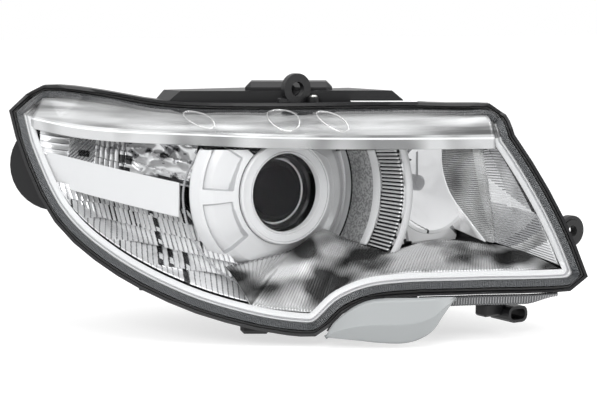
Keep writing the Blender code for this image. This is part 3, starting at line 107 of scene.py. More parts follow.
# ---- the optics, in the car frame ----
LOW = Vector((0.0205, 0.0, 0.0010))
HIGH = Vector((0.190, 0.0, 0.002))
RING_Y, RING_HOLE, RING_RIM = 0.054, 0.041, 0.0542
SURROUND_BASE, SURROUND_TOP, SURROUND_FLOOR = 0.094, 0.0470, -0.078
TUBE_Y, TUBE_RADIUS, GLASS_RADIUS, GLASS_CROWN = 0.066, 0.0385, 0.031, 0.019
DIVIDER_RADIUS, DIVIDER_Y, DIVIDER_BACK_RADIUS, DIVIDER_BACK_Y = 0.116, -0.004, 0.0975, 0.088
WALL_FROM, WALL_TO = -34, 23  # degrees
CRESCENT_FLUTES = 27
BOWL_RADIUS, BOWL_NECK, BOWL_Y, BOWL_DEPTH = 0.049, 0.016, 0.026, 0.066

STYLING = Matrix.Translation(-ORIGIN) @ Matrix.Rotation(-SWEEP, 4, "Z")
CAR = Matrix.Translation(-ORIGIN)


# ------------------------------------------------------------------ materials
def shader(name, colour, roughness, metallic=0.0, coat=0.0, emission=0.0, level=0.5):
    made = bpy.data.materials.new(name)
    made.use_nodes = True
    node = made.node_tree.nodes["Principled BSDF"]
    node.inputs["Base Color"].default_value = (*colour, 1)
    node.inputs["Roughness"].default_value = roughness
    node.inputs["Metallic"].default_value = metallic
    node.inputs["Coat Weight"].default_value = coat
    node.inputs["Specular IOR Level"].default_value = level
    if emission:
        node.inputs["Emission Color"].default_value = (1, 1, 1, 1)
        node.inputs["Emission Strength"].default_value = emission
    return made


def clouded(made, dark, light, scale, low=0.4, high=0.6, stretch=(1, 1, 1), detail=2.0):
    """Gives a material's colour soft patches between two greys."""
    tree = made.node_tree
    place = tree.nodes.new("ShaderNodeTexCoord")
    spread = tree.nodes.new("ShaderNodeMapping")
    spread.inputs["Scale"].default_value = stretch
    cloud = tree.nodes.new("ShaderNodeTexNoise")
    cloud.inputs["Scale"].default_value = scale
    cloud.inputs["Detail"].default_value = detail
    ramp = tree.nodes.new("ShaderNodeValToRGB")
    ramp.color_ramp.elements[0].position = low
    ramp.color_ramp.elements[1].position = high
    ramp.color_ramp.elements[0].color = (dark, dark, dark, 1)
    ramp.color_ramp.elements[1].color = (light, light, light, 1)
    tree.links.new(place.outputs["Object"], spread.inputs["Vector"])
    tree.links.new(spread.outputs["Vector"], cloud.inputs["Vector"])
    tree.links.new(cloud.outputs["Fac"], ramp.inputs["Fac"])
    tree.links.new(ramp.outputs["Color"], tree.nodes["Principled BSDF"].inputs["Base Color"])
    return made


def see_through(name, gloss, tint=(1, 1, 1), least=0.0025, frost=0.02):
    """A thin clear wall: it passes what is behind it and mirrors a little, more at a glancing angle."""
    made = bpy.data.materials.new(name)
    made.use_nodes = True
    tree = made.node_tree
    tree.nodes.clear()
    clear = tree.nodes.new("ShaderNodeBsdfTransparent")
    clear.inputs["Color"].default_value = (*tint, 1)
    mirror = tree.nodes.new("ShaderNodeBsdfPrincipled")
    mirror.inputs["Base Color"].default_value = (gloss, gloss, gloss, 1)
    mirror.inputs["Metallic"].default_value = 1.0
    mirror.inputs["Roughness"].default_value = frost
    edge = tree.nodes.new("ShaderNodeLayerWeight")
    steep = tree.nodes.new("ShaderNodeMath")
    steep.operation = "POWER"
    steep.inputs[1].default_value = 4.0
    share = tree.nodes.new("ShaderNodeMath")
    share.operation = "MULTIPLY_ADD"
    share.inputs[1].default_value = 0.75
    share.inputs[2].default_value = least
    mixed = tree.nodes.new("ShaderNodeMixShader")
    out = tree.nodes.new("ShaderNodeOutputMaterial")
    tree.links.new(edge.outputs["Facing"], steep.inputs[0])
    tree.links.new(steep.outputs["Value"], share.inputs[0])
    tree.links.new(share.outputs["Value"], mixed.inputs["Fac"])
    tree.links.new(clear.outputs["BSDF"], mixed.inputs[1])
    tree.links.new(mirror.outputs["BSDF"], mixed.inputs[2])
    tree.links.new(mixed.outputs["Shader"], out.inputs["Surface"])
    return made


def make_looks():
    return {
        "black": shader("black plastic", (0.012, 0.012, 0.013), 0.40, level=0.35),
        "gloss_black": shader("gloss black", (0.006, 0.006, 0.007), 0.12, level=0.2),
        "rubber": shader("rubber", (0.012, 0.012, 0.012), 0.7),
        "lens": see_through("clear lens", 0.9, (0.985, 0.988, 0.99)),
        "foot": shader("lens foot", (0.085, 0.088, 0.092), 0.25, coat=0.4),
        "white": shader("satin silver white", (0.76, 0.76, 0.765), 0.32, coat=0.1),
        "bar": shader("white bar", (0.70, 0.70, 0.705), 0.45),
        # Grey for grey plastic and the knurled rib; elsewhere it is painted shade on steps, grooves, window
        # walls and ribs.
        "shade": shader("satin silver shade", (0.44, 0.44, 0.45), 0.35),
        "chrome": shader("chrome", (0.93, 0.93, 0.935), 0.10, 1.0),
        "chrome_soft": shader("soft chrome", (0.93, 0.93, 0.935), 0.20, 0.45),
        # Its emission is a painted glow: the bowl lights itself because too little light reaches inside it.
        "bowl": shader("bowl reflector with painted glow", (0.90, 0.90, 0.905), 0.16, 0.25, emission=0.20),
        # Chrome painted mid grey and near black: painted reflections and painted shade on the reflectors'
        # flutes, ribs, facets and bowl.
        "chrome_painted_grey": shader("chrome painted grey", (0.42, 0.42, 0.43), 0.22, 0.6),
        "chrome_painted_dark": shader("chrome painted dark", (0.045, 0.045, 0.047), 0.18, 0.4),
        "floor": clouded(shader("ribbed floor", (0.6, 0.6, 0.6), 0.24, 0.6),
                         0.04, 0.72, 19.0, 0.40, 0.57, (1.0, 1.0, 1.5), 1.5),
        # A darker copy of the floor: painted shade along one side of each rib.
        "floor_rib_shade": clouded(shader("ribbed floor shade", (0.3, 0.3, 0.3), 0.24, 0.5),
                              0.02, 0.36, 19.0, 0.40, 0.56, (1.0, 1.0, 1.5), 1.5),
        "chrome_pale": shader("pale chrome", (0.70, 0.70, 0.71), 0.25, 0.5),
        "ribbed_grey": clouded(shader("ribbed grey", (0.5, 0.5, 0.5), 0.28, 0.4),
                               0.22, 0.72, 24.0, 0.38, 0.60, (1.0, 1.0, 0.6), 1.0),
        "sandy": clouded(shader("grained panel", (0.6, 0.6, 0.6), 0.35, 0.5), 0.26, 0.52, 420.0, 0.42, 0.58),
        "visor": clouded(shader("grey visor", (0.4, 0.4, 0.4), 0.30, 0.3, 0.3),
                         0.16, 0.54, 30.0, 0.36, 0.62, (0.30, 0.30, 3.6), 2.5),
        "visor_lip": clouded(shader("visor lip", (0.5, 0.5, 0.5), 0.30, 0.2, 0.2),
                             0.26, 0.66, 15.0, 0.36, 0.52, (1.0, 1.0, 0.5), 1.0),
        "moulded": see_through("moulded mark", 0.95, (0.80, 0.80, 0.80), 0.40, 0.12),
        # A painted highlight, laid on the visor's fold under the lens's crease.
        "bright": shader("painted crease highlight", (0.96, 0.96, 0.965), 0.25),
        "glass": shader("projector glass", (0.0015, 0.0015, 0.0018), 0.10, level=0.0),
        "bulb": see_through("bulb glass", 0.9, (0.95, 0.95, 0.95), 0.08),
        "amber": shader("silvered amber", (0.62, 0.50, 0.40), 0.18, 0.7),
        "primer": shader("primer grey", (0.33, 0.345, 0.35), 0.38, coat=0.2),
        "steel": shader("zinc plated steel", (0.60, 0.60, 0.58), 0.35, 1.0),
        "nylon": shader("natural nylon", (0.74, 0.73, 0.68), 0.45),
        "label": shader("blank label", (0.93, 0.93, 0.93), 0.5),
    }


# ------------------------------------------------------------------ curves in the styling frame
def height_on(points, x):
    """Height of the smooth curve through (x, z) points whose x only rises."""
    x = min(max(x, points[0][0]), points[-1][0])
    i = max(k for k in range(len(points) - 1) if points[k][0] <= x)

    def slope(k):
        before, after = points[max(k - 1, 0)], points[min(k + 1, len(points) - 1)]
        return (after[1] - before[1]) / (after[0] - before[0])

    (x0, z0), (x1, z1) = points[i], points[i + 1]
    width = x1 - x0
    t = (x - x0) / width
    rise = (2 * t**3 - 3 * t**2 + 1) * z0 + (3 * t**2 - 2 * t**3) * z1
    return rise + width * ((t**3 - 2 * t**2 + t) * slope(i) + (t**3 - t**2) * slope(i + 1))


def lens_depth(x, z):
    return BOW * x**2 - BOW_SKEW * x**3 + RAKE * z + CROWN * z**2


def smooth_step(low, high, value):
    t = min(max((value - low) / (high - low), 0), 1)
    return t * t * (3 - 2 * t)


def along(points, share):
    x = points[0][0] + share * (points[-1][0] - points[0][0])
    return x, height_on(points, x)


def face_point(share, v):
    (x0, z0), (x1, z1) = along(BOTTOM_EDGE, share), along(CREASE, share)
    x = x0 + (x1 - x0) * v + SIDE_BOW * 4 * v * (1 - v) * share**6
    z = z0 + (z1 - z0) * v
    return Vector((x, lens_depth(x, z), z))


def shelf_point(share, w):
    (x0, z0), (x1, z1) = along(CREASE, share), along(TOP_EDGE, share)
    rounded = smooth_step(CREASED_TO, ROUNDED_FROM, share)
    turn = w * math.pi / 2
    rise = w + (math.sin(turn) - w) * rounded
    back = w + (1 - math.cos(turn) - w) * rounded
    full = smooth_step(0.0, 0.16, share) * smooth_step(1.0, 0.80, share)
    run = SHELF_RUN_END + (SHELF_RUN - SHELF_RUN_END) * full
    return Vector((x0 + (x1 - x0) * w, lens_depth(x0, z0) + run * back, z0 + (z1 - z0) * rise))


def shares(count=COLUMNS):
    return [(i / count) ** 1.15 for i in range(count + 1)]


def curve_through(points, count):
    """count points along the smooth curve through these points."""
    found = []
    for k in range(count):
        t = k / (count - 1) * (len(points) - 1)
        i = min(int(t), len(points) - 2)
        p0, p1, p2, p3 = (points[min(max(i + j, 0), len(points) - 1)] for j in (-1, 0, 1, 2))
        t -= i
        found.append(Vector([0.5 * (2 * b + (c - a) * t + (2 * a - 5 * b + 4 * c - d) * t * t
                                    + (3 * b - a - 3 * c + d) * t**3)
                             for a, b, c, d in zip(p0, p1, p2, p3)]))
    return found


def distance_to(point, start, end):
    px, pz = point.x - start.x, point.z - start.z
    dx, dz = end.x - start.x, end.z - start.z
    long = dx * dx + dz * dz
    share = min(max((px * dx + pz * dz) / long, 0), 1) if long else 0
    return math.hypot(px - share * dx, pz - share * dz)


def offset_loop(loop, outward, deeper=0.0):
    """The loop moved outward in the x-z plane, and back by deeper. Far inward, tight corners are cut."""
    count = len(loop)
    moved = []
    for i, here in enumerate(loop):
        before, after = loop[i - 1], loop[(i + 1) % count]
        n0 = Vector((here.z - before.z, before.x - here.x)).normalized()
        n1 = Vector((after.z - here.z, here.x - after.x)).normalized()
        mitre = (n0 + n1) / max(1 + n0.dot(n1), 0.7)
        moved.append(here + Vector((mitre.x * outward, deeper, mitre.y * outward)))
    if outward > -0.004:
        return moved
    nearest = [min(distance_to(p, loop[k - 1], loop[k]) for k in range(count)) for p in moved]
    sound = [i for i in range(count) if nearest[i] > abs(outward) - 0.0003]
    for start, end in zip(sound, sound[1:] + [sound[0] + count]):
        for i in range(start + 1, end):
            moved[i % count] = moved[start].lerp(moved[end % count], (i - start) / (end - start))
    return moved


def edge_loop(grid):
    """The lens's edge, once round, from its grid of columns."""
    bottom = [column[0] for column in grid]
    top = [column[-1] for column in reversed(grid)]
    outboard = list(reversed(grid[0][FACE_ROWS + 1:-1]))
    loop = bottom + grid[-1][1:-1] + top + outboard
    return [p for i, p in enumerate(loop) if (p - loop[i - 1]).length > 1e-5]


def resample(loop, others, step):
    """The loop and its partner loops cut at even steps along it."""
    lengths = [(loop[(i + 1) % len(loop)] - loop[i]).length for i in range(len(loop))]
    total = sum(lengths)
    count = int(total / step)
    cut = [[] for _ in [loop, *others]]
    i, passed = 0, 0.0
    for k in range(count):
        at = k * total / count
        while passed + lengths[i] < at:
            passed += lengths[i]
            i += 1
        t = (at - passed) / lengths[i]
        for made, source in zip(cut, [loop, *others]):
            made.append(source[i].lerp(source[(i + 1) % len(loop)], t))
    return cut


# ------------------------------------------------------------------ making pieces
class Maker:
    """Makes visual pieces and ties them to the bodies of the CAD nodes that they stand for."""

    def __init__(self):
        self.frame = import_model()
        self.looks = make_looks()
        bodies = self.frame["record"]["behaviour"]["bodies"]
        self.body = {node: body for body, nodes in bodies.items() for node in nodes}

    def piece(self, name, points, faces, looks, frame, nodes, slot, wall=0.0, which=None, angle=40,
              forward=False, body=None):
        """One mesh. which gives each face's look by its place in looks, and wall thickens a sheet."""
        mesh = bpy.data.meshes.new(name)
        mesh.from_pydata([tuple(p) for p in points], [], faces)
        if which:
            mesh.polygons.foreach_set("material_index", which)
        work = bmesh.new()
        work.from_mesh(mesh)
        bmesh.ops.remove_doubles(work, verts=work.verts, dist=1e-6)
        bmesh.ops.recalc_face_normals(work, faces=work.faces)
        if forward and sum(f.normal.y * f.calc_area() for f in work.faces) > 0:
            bmesh.ops.reverse_faces(work, faces=work.faces)
        work.to_mesh(mesh)
        work.free()
        mesh.transform(frame)
        for look in looks:
            mesh.materials.append(self.looks[look])
        made = bpy.data.objects.new(name, mesh)
        bpy.context.scene.collection.objects.link(made)
        if wall:
            shell = made.modifiers.new("wall", "SOLIDIFY")
            shell.thickness = wall
            shell.offset = -1.0
        mesh.shade_smooth()
        mesh.set_sharp_from_angle(angle=math.radians(angle))
        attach(made, body or self.body[nodes[0]])
        if nodes and body is None:
            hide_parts(*nodes)
        return made

    def sheet(self, name, rows, looks, nodes, slot, wall=0.0016, frame=STYLING, pick=None, body=None,
              angle=40):
        """A thin wall over rows of points. pick(i, j) gives each face's look by its place in looks."""
        wide = len(rows[0])
        points = [p for row in rows for p in row]
        cells = [(i, j) for i in range(len(rows) - 1) for j in range(wide - 1)]
        faces = [(i * wide + j, i * wide + j + 1, (i + 1) * wide + j + 1, (i + 1) * wide + j)
                 for i, j in cells]
        which = [pick(i, j) for i, j in cells] if pick else None
        return self.piece(name, points, faces, looks, frame, nodes, slot, wall, which, angle, True, body)

    def band(self, name, loops, looks, nodes, slot, pick=None, body=None, angle=40, frame=STYLING):
        """A closed ring whose section joins these loops in turn. pick(k, point) gives each face's look."""
        count = len(loops[0])
        points = [p for loop in loops for p in loop]
        faces, which = [], []
        for k in range(len(loops)):
            a, b = k * count, ((k + 1) % len(loops)) * count
            faces += [(a + i, a + (i + 1) % count, b + (i + 1) % count, b + i) for i in range(count)]
            which += [pick(k, loops[0][i]) if pick else 0 for i in range(count)]
        return self.piece(name, points, faces, looks, frame, nodes, slot, 0.0, which, angle, False, body)

    def lathe(self, name, profile, axis, y, looks, nodes, slot, steps=96, closed=False, pick=None, body=None,
              angle=35):
        """A solid turned about the car's y axis from (r, forward) points."""
        loops = []
        for r, ahead in profile:
            loops.append([axis + Vector((max(r, 1e-7) * math.cos(a), y - ahead, max(r, 1e-7) * math.sin(a)))
                          for a in (2 * math.pi * i / steps for i in range(steps))])
        points = [p for loop in loops for p in loop]
        faces, which = [], []
        for k in range(len(loops) - (0 if closed else 1)):
            a, b = k * steps, ((k + 1) % len(loops)) * steps
            faces += [(a + i, a + (i + 1) % steps, b + (i + 1) % steps, b + i) for i in range(steps)]
            which += [pick(k, i) if pick else 0 for i in range(steps)]
        return self.piece(name, points, faces, looks, CAR, nodes, slot, 0.0, which, angle, False, body)

    def tube(self, name, line, radii, look, nodes, slot, body=None, sides=10, frame=STYLING):
        """A round bar along a line of points, with a radius at each."""
        points, faces = [], []
        for i, here in enumerate(line):
            ahead = (line[min(i + 1, len(line) - 1)] - line[max(i - 1, 0)]).normalized()
            out = ahead.cross(Vector((0.1, 1, 0))).normalized()
            up = ahead.cross(out)
            points += [here + radii[i] * (out * math.cos(a) + up * math.sin(a))
                       for a in (2 * math.pi * k / sides for k in range(sides))]
        for i in range(len(line) - 1):
            a, b = i * sides, (i + 1) * sides
            faces += [(a + k, a + (k + 1) % sides, b + (k + 1) % sides, b + k) for k in range(sides)]
        faces += [tuple(range(sides)), tuple(range(len(points) - sides, len(points)))]
        return self.piece(name, points, faces, [look], frame, nodes, slot, body=body)


def ripple(value):
    """A row of rounded ridges: 1 at the middle of each, 0 between them."""
    return abs(math.sin(math.pi * value))


# ------------------------------------------------------------------ lens and rim
# Moulded pips on the lens's shelf: (share of length, place up the shelf, half length, half width, slant)
PIPS = [(0.386, 0.44, 0.030, 0.34, 0.9), (0.555, 0.50, 0.036, 0.42, 0.35), (0.652, 0.44, 0.027, 0.36, 0.9)]
PIP_RIM = 0.85  # the raised rim's place, as a share of the pip's half length and width
MARK_STEPS, MARK_RADIUS = 48, 0.0009  # the bright line along that rim


def pip_rise(share, w):
    """How far the shelf stands out here: a raised rim round each pip, and a slight dome inside it."""
    rise = 0.0
    for at, up, long, wide, slant in PIPS:
        x, y = (share - at) / long, (w - up) / wide
        reach = math.hypot(x + slant * y, y)
        rim, dome = math.exp(-((reach - PIP_RIM) / 0.14) ** 2), smooth_step(0.9, 0.3, reach)
        rise += 0.0011 * rim + 0.0005 * dome
    return rise


def lens_grid():
    grid = []
    for share in shares():
        column = [face_point(share, row / FACE_ROWS) for row in range(FACE_ROWS + 1)]
        for row in range(1, SHELF_ROWS + 1):
            w = row / SHELF_ROWS
            column.append(shelf_point(share, w) + Vector((0, -0.35, 0.9)) * pip_rise(share, w))
        grid.append(column)
    return grid


def make_lens(maker, grid, loop):
    wide = len(grid[0])
    points = [p for column in grid for p in column]
    faces = [(i * wide + j, (i + 1) * wide + j, (i + 1) * wide + j + 1, i * wide + j + 1)
             for i in range(len(grid) - 1) for j in range(wide - 1)]
    first, count = len(points), len(loop)
    points += loop + offset_loop(loop, 0, LENS_SKIRT)
    faces += [(first + i, first + count + i, first + count + (i + 1) % count, first + (i + 1) % count)
              for i in range(count)]
    maker.piece("clear_lens", points, faces, ["lens"], STYLING, ["lens"], "clear_lens", LENS_WALL,
                angle=32, forward=True)
    for number, (at, up, long, wide_by, slant) in enumerate(PIPS):
        line = []
        for k in range(MARK_STEPS + 1):
            a = 2 * math.pi * k / MARK_STEPS
            y = PIP_RIM * math.sin(a)
            line.append(shelf_point(at + long * (PIP_RIM * math.cos(a) - slant * y), up + wide_by * y)
                        + Vector((0, -0.0002, 0.0006)))
        maker.tube(f"lens_mark_{number}", line, [MARK_RADIUS] * len(line), "moulded", [], "clear_lens",
                   body="housing")


def make_foot_and_border(maker, loop):
    """The ribbed foot of the lens, seen through its face, and the white stepped border inside it."""
    near = offset_loop(loop, -0.0008)
    inner = offset_loop(loop, -BORDER_OUTSET)
    far = offset_loop(loop, -BORDER_OUTSET - BORDER_WIDTH)
    _, fine_near, fine_inner = resample(loop, [near, inner], 0.00095)
    ribs = [0.0007 * (i % 2) for i in range(len(fine_near))]
    middle = [p.lerp(q, 0.5) for p, q in zip(fine_near, fine_inner)]
    loops = [[p + Vector((0, 0.0034 + rib, 0)) for p, rib in zip(fine_near, ribs)],
             [p + Vector((0, 0.0034 + rib, 0)) for p, rib in zip(middle, ribs)],
             [p + Vector((0, 0.0038 + rib, 0)) for p, rib in zip(fine_inner, ribs)],
             [p + Vector((0, 0.0056, 0)) for p in fine_inner],
             [p + Vector((0, 0.0056, 0)) for p in fine_near]]
    maker.band("lens_foot", loops, ["foot"], [], "clear_lens", body="housing", angle=20)
    section = [(0.0, 0.0066), (0.12, 0.0056), (0.24, 0.0056), (0.30, 0.0072), (0.38, 0.0076), (0.46, 0.0066),
               (0.90, 0.0082), (1.0, 0.0092), (1.0, 0.0110), (0.0, 0.0084)]
    loops = [[p.lerp(q, t) + Vector((0, deep, 0)) for p, q in zip(inner, far)] for t, deep in section]

    def pick(k, point):
        if point.z > height_on(CREASE, point.x) - 0.001:
            return 2
        # Rows 2 and 3, the step in the border, take painted shade.
        return 1 if k in (2, 3) else 0

    maker.band("bezel_rim", loops, ["white", "shade", "visor"], ["bezel_border"], "satin_silver", pick=pick,
               angle=30)


def visor_point(share, w):
    point = shelf_point(share, max(w, 0.0))
    rounded = smooth_step(CREASED_TO, ROUNDED_FROM, share)
    below = Vector((0, VISOR_DEPTH * (1 - 0.5 * max(w, 0)), -VISOR_DEPTH * (0.35 + 0.5 * max(w, 0)) * rounded
                    - 0.0045 * (1 - rounded)))
    return point + below + Vector((0, 0.002, VISOR_DROP * min(w, 0.0)))


def make_visor(maker):
    """Rows below 0 hang down as the lip, row 0 lies along the lens's crease, and the rest climb the shelf."""
    rows = [-1.0, -0.92, -0.7, -0.45, -0.24, -0.10, 0.0, 0.05, 0.12, 0.2, 0.3, 0.4, 0.5, 0.62, 0.74, 0.86]
    picked = [VISOR_START + VISOR_SPAN * i / VISOR_COLUMNS for i in range(VISOR_COLUMNS + 1)]
    points = [[visor_point(share, w) for share in picked] for w in rows]

    def pick(i, j):
        # Row 6, along the fold, takes the painted highlight.
        if i == 6:
            return 1
        return 2 if i < 8 else 0

    maker.sheet("grey_visor", points, ["visor", "bright", "visor_lip"], ["visor"], "grey_plastic", pick=pick)


# ------------------------------------------------------------------ projector
SURROUND_PROFILE = [(RING_RIM + 0.0006, -0.0048), (0.062, -0.009), (0.078, -0.016), (0.089, -0.027),
                    (SURROUND_BASE, -0.038)]
# Sunk windows in the surround: (angle from, angle to, radius from, radius to), 0 at inboard and 90 up
WINDOWS = [(141, 176, 0.0595, 0.0865), (186, 226, 0.0595, 0.0865)]
WINDOW_DEPTH = 0.0060
SURROUND_TURN = (132, 408)  # degrees


def profile_height(profile, r):
    for (r0, h0), (r1, h1) in zip(profile, profile[1:]):
        if r <= r1:
            return h0 + (h1 - h0) * (r - r0) / (r1 - r0)
    return profile[-1][1]


def sunk(degrees, r):
    """How far the surround is pressed in here."""
    deep = 0.0
    for a0, a1, r0, r1 in WINDOWS:
        sides = smooth_step(a0, a0 + 1.6, degrees) * smooth_step(a1, a1 - 1.6, degrees)
        ends = smooth_step(r0, r0 + 0.0016, r) * smooth_step(r1, r1 - 0.0016, r)
        lean = 0.5 + 0.5 * (degrees - a0) / (a1 - a0)
        deep = max(deep, WINDOW_DEPTH * sides * ends * lean)
    return deep


def make_surround(maker):
    """The cone round the projector, open at the top where the visor crosses it."""
    rows = []
    start, end = SURROUND_TURN
    around, across = 414, 46
    for k in range(across + 1):
        row = []
        for i in range(around + 1):
            degrees = start + (end - start) * i / around
            a = math.radians(degrees)
            limit = SURROUND_TOP - LOW.z if math.sin(a) > 0 else LOW.z - SURROUND_FLOOR
            reach = min(SURROUND_BASE, limit / max(abs(math.sin(a)), 1e-6))
            first = SURROUND_PROFILE[0][0]
            r = first + max(reach - first, 0.0004) * k / across
            ahead = profile_height(SURROUND_PROFILE, r) - sunk(degrees, r)
            row.append(LOW + Vector((r * math.cos(a), RING_Y - ahead, r * math.sin(a))))
        rows.append(row)

    def pick(i, j):
        degrees = start + (end - start) * (j + 0.5) / around
        if 300 < degrees and i > across * 0.30:
            return 1
        # The walls of the sunk windows take painted shade.
        a, b, c = (rows[k][m] - LOW for k, m in ((i, j), (i + 1, j), (i, j + 1)))
        radii = [math.hypot(p.x, p.z) for p in (a, b, c)]
        turns = [start + (end - start) * k / around for k in (j, j, j + 1)]
        pressed = [sunk(turn, radius) for turn, radius in zip(turns, radii)]
        return 2 if max(pressed) - min(pressed) > 0.0006 else 0

    maker.sheet("surround", rows, ["white", "chrome_soft", "shade"], ["projector_surround"], "satin_silver",
                frame=CAR, pick=pick, angle=28)


def make_projector(maker):
    hole, rim = RING_HOLE, RING_RIM
    ring = [(hole, -0.007), (hole, 0.0002), (hole + 0.0006, 0.0012), (hole + 0.0016, 0.0012),
            (hole + 0.0022, 0.0004), (rim - 0.0034, 0.0004), (rim - 0.0028, 0.0014), (rim - 0.0012, 0.0014),
            (rim, -0.0006), (rim, -0.0040), (rim - 0.002, -0.0055), (hole + 0.003, -0.003),
            (hole + 0.002, -0.007)]
    # Section faces 3, 5 and 8 take painted shade, as dark groove lines at the ring's edges.
    maker.lathe("ring", ring, LOW, RING_Y + 0.0005, ["white", "shade"], ["projector_ring"], "satin_silver",
                closed=True, pick=lambda k, i: 1 if k in (3, 5, 8) else 0)
    tube, glass = TUBE_RADIUS, GLASS_RADIUS
    holder = [(tube, -0.0005), (tube, -0.0345), (glass + 0.0015, -0.0345), (glass + 0.0015, -0.0225),
              (glass - 0.002, -0.0225), (glass - 0.002, -0.0205), (glass + 0.0018, -0.0205),
              (glass + 0.0022, -0.012), (glass + 0.0024, -0.0112), (glass + 0.0034, -0.0106),
              (glass + 0.0040, -0.002), (tube - 0.0015, 0.0), (tube - 0.0006, 0.0)]
    maker.lathe("glass_holder", holder, LOW, TUBE_Y, ["gloss_black", "bar"], ["lens_holder"], "black_plastic",
                closed=True, pick=lambda k, i: 1 if k in (7, 8) else 0)
    back = -0.0198
    crown = [(0, back + 0.003 + GLASS_CROWN)]
    crown += [(glass * math.sin(a), back + 0.003 + GLASS_CROWN * math.cos(a))
              for a in (math.radians(6 * i) for i in range(1, 16))]
    crown += [(glass, back), (0, back)]
    maker.lathe("projector_glass", crown, LOW, TUBE_Y, ["glass", "gloss_black"], ["projector_lens"],
                "optical_glass", pick=lambda k, i: 1 if k > 9 else 0)


def arc_sheet(maker, name, profile, steps, looks, node, slot, wall, flute=0.0, count=0, pick=None):
    """A wall turned round the projector's axis between the chamber wall's two angles."""
    rows = []
    for k in range(len(profile)):
        r, ahead = profile[k]
        row = []
        for i in range(steps + 1):
            degrees = WALL_FROM + (WALL_TO - WALL_FROM) * i / steps
            a = math.radians(degrees)
            radius = r - flute * ripple(count * i / steps)
            row.append(LOW + Vector((radius * math.cos(a), DIVIDER_Y - ahead, radius * math.sin(a))))
        rows.append(row)
    return maker.sheet(name, rows, looks, [node], slot, wall, CAR, pick, angle=22)


def make_divider(maker):
    """The wall between the two beams: banded at the back, fluted in front, with a white rib on its edge."""
    length = DIVIDER_BACK_Y - DIVIDER_Y
    split = 0.42  # the crescent's share of the wall, from its front edge
    middle = DIVIDER_RADIUS + (DIVIDER_BACK_RADIUS - DIVIDER_RADIUS) * split
    widening = middle - 0.003 - DIVIDER_BACK_RADIUS
    back = [(DIVIDER_BACK_RADIUS + widening * t, -length + length * (1 - split) * t)
            for t in (0, 0.16, 0.21, 0.5, 0.52, 0.8, 0.82, 1.0)]
    back = [(SURROUND_BASE - 0.003, -length - 0.006), *back]
    # Its third band is chrome painted dark as a reflection.
    arc_sheet(maker, "chamber_panel", back, 64, ["chrome_soft", "sandy", "white", "chrome_painted_dark"],
              "chamber_wall", "chromed_trim", 0.0012, pick=lambda i, j: (0, 2, 3, 1, 1, 1, 2, 2)[i])
    front = [(middle + (DIVIDER_RADIUS - 0.002 - middle) * t, -length * split + (length * split - 0.009) * t)
             for t in (0, 0.1, 0.25, 0.5, 0.75, 0.9, 1.0)]
    # Half of each flute is chrome painted dark as a reflection.
    arc_sheet(maker, "crescent", front, CRESCENT_FLUTES * 8, ["chrome_soft", "chrome_painted_dark"],
              "fluted_crescent", "chromed_trim", 0.0010, 0.0019, CRESCENT_FLUTES,
              lambda i, j: 1 if j % 8 in (0, 1, 2, 7) else 0)
    rib = [(DIVIDER_RADIUS - 0.003, -0.004), (DIVIDER_RADIUS, -0.0022), (DIVIDER_RADIUS + 0.004, -0.001)]
    arc_sheet(maker, "front_rib", rib, 64, ["bar"], "arc_rib", "satin_silver", 0.003)


# ------------------------------------------------------------------ floor, blade and side facets
FLOOR_BACK = [(-0.076, 0.042, -0.074), (-0.010, 0.060, -0.060), (0.024, 0.070, -0.040),
              (0.052, 0.074, -0.050), (0.094, 0.074, -0.0615), (0.140, 0.098, -0.054),
              (0.178, 0.092, -0.0545), (0.203, 0.072, -0.055)]
FLOOR_LEFT, FLOOR_RIGHT = 0.435, 0.968
BLADE_LEFT = [(0.151, 0.088, 0.046), (0.152, 0.086, 0.022), (0.161, 0.083, -0.004), (0.180, 0.078, -0.030),
              (0.197, 0.074, -0.052)]
BLADE_RIGHT = [(0.190, 0.062, 0.046), (0.195, 0.062, 0.022), (0.199, 0.062, -0.004), (0.203, 0.063, -0.030),
               (0.206, 0.066, -0.052)]
BLADE_RIBS = 49


def on_line(line, t):
    """A point on a dense line of points, at a share of its length in points."""
    t = min(max(t, 0), 1) * (len(line) - 1)
    i = min(int(t), len(line) - 2)
    return line[i].lerp(line[i + 1], t - i)


def make_floor(maker):
    """The fine-ribbed floor, from the border up to the surround, the divider and the bowl."""
    inside = BORDER_OUTSET + BORDER_WIDTH
    front = []
    for k in range(121):
        x, z = along(BOTTOM_EDGE, FLOOR_LEFT + (FLOOR_RIGHT - FLOOR_LEFT) * k / 120)
        lift = inside - 0.001 + 0.0015 * smooth_step(0.05, 0.0, abs(x - 0.012) - 0.012)
        front.append(Vector((x, lens_depth(x, z + lift) + BORDER_DEPTH + 0.0026, z + lift)))
    back = curve_through(FLOOR_BACK, 121)
    ribs, fine, slant, deep = 125, 4, 0.20, 14
    rows = []
    for j in range(deep + 1):
        t = j / deep
        row = []
        for i in range(ribs * fine + 1):
            u = (i / (ribs * fine)) * (1 + slant) - slant
            a, b = on_line(front, u), on_line(back, u + slant)
            lift = 0.004 * math.sin(math.pi * t) + 0.0005 * math.sin(2 * math.pi * i / fine)
            row.append(a.lerp(b, t) + Vector((0, 0, lift)))
        rows.append(row)

    def in_cone(p):
        """Where the surround stands, so that the floor stops at it."""
        q = STYLING @ p + ORIGIN
        r = math.hypot(q.x - LOW.x, q.z - LOW.z)
        return r < SURROUND_BASE + 0.002 and q.y > RING_Y + 0.002 - profile_height(SURROUND_PROFILE, r)

    wide = len(rows[0])
    points = [p for row in rows for p in row]
    faces, which = [], []
    for i in range(deep):
        for j in range(wide - 1):
            corners = (i * wide + j, i * wide + j + 1, (i + 1) * wide + j + 1, (i + 1) * wide + j)
            if (points[corners[0]] - points[corners[1]]).length > 1e-5 or \
                    (points[corners[2]] - points[corners[3]]).length > 1e-5:
                if not any(in_cone(points[c]) for c in corners):
                    faces.append(corners)
                    # Every fourth strip, along each rib, takes the painted rib shade.
                    which.append(1 if j % fine == 0 else 0)
    maker.piece("ribbed_floor", points, faces, ["floor", "floor_rib_shade"], STYLING, ["floor_panel"],
                "chromed_trim", 0.0012, which, 50, True)


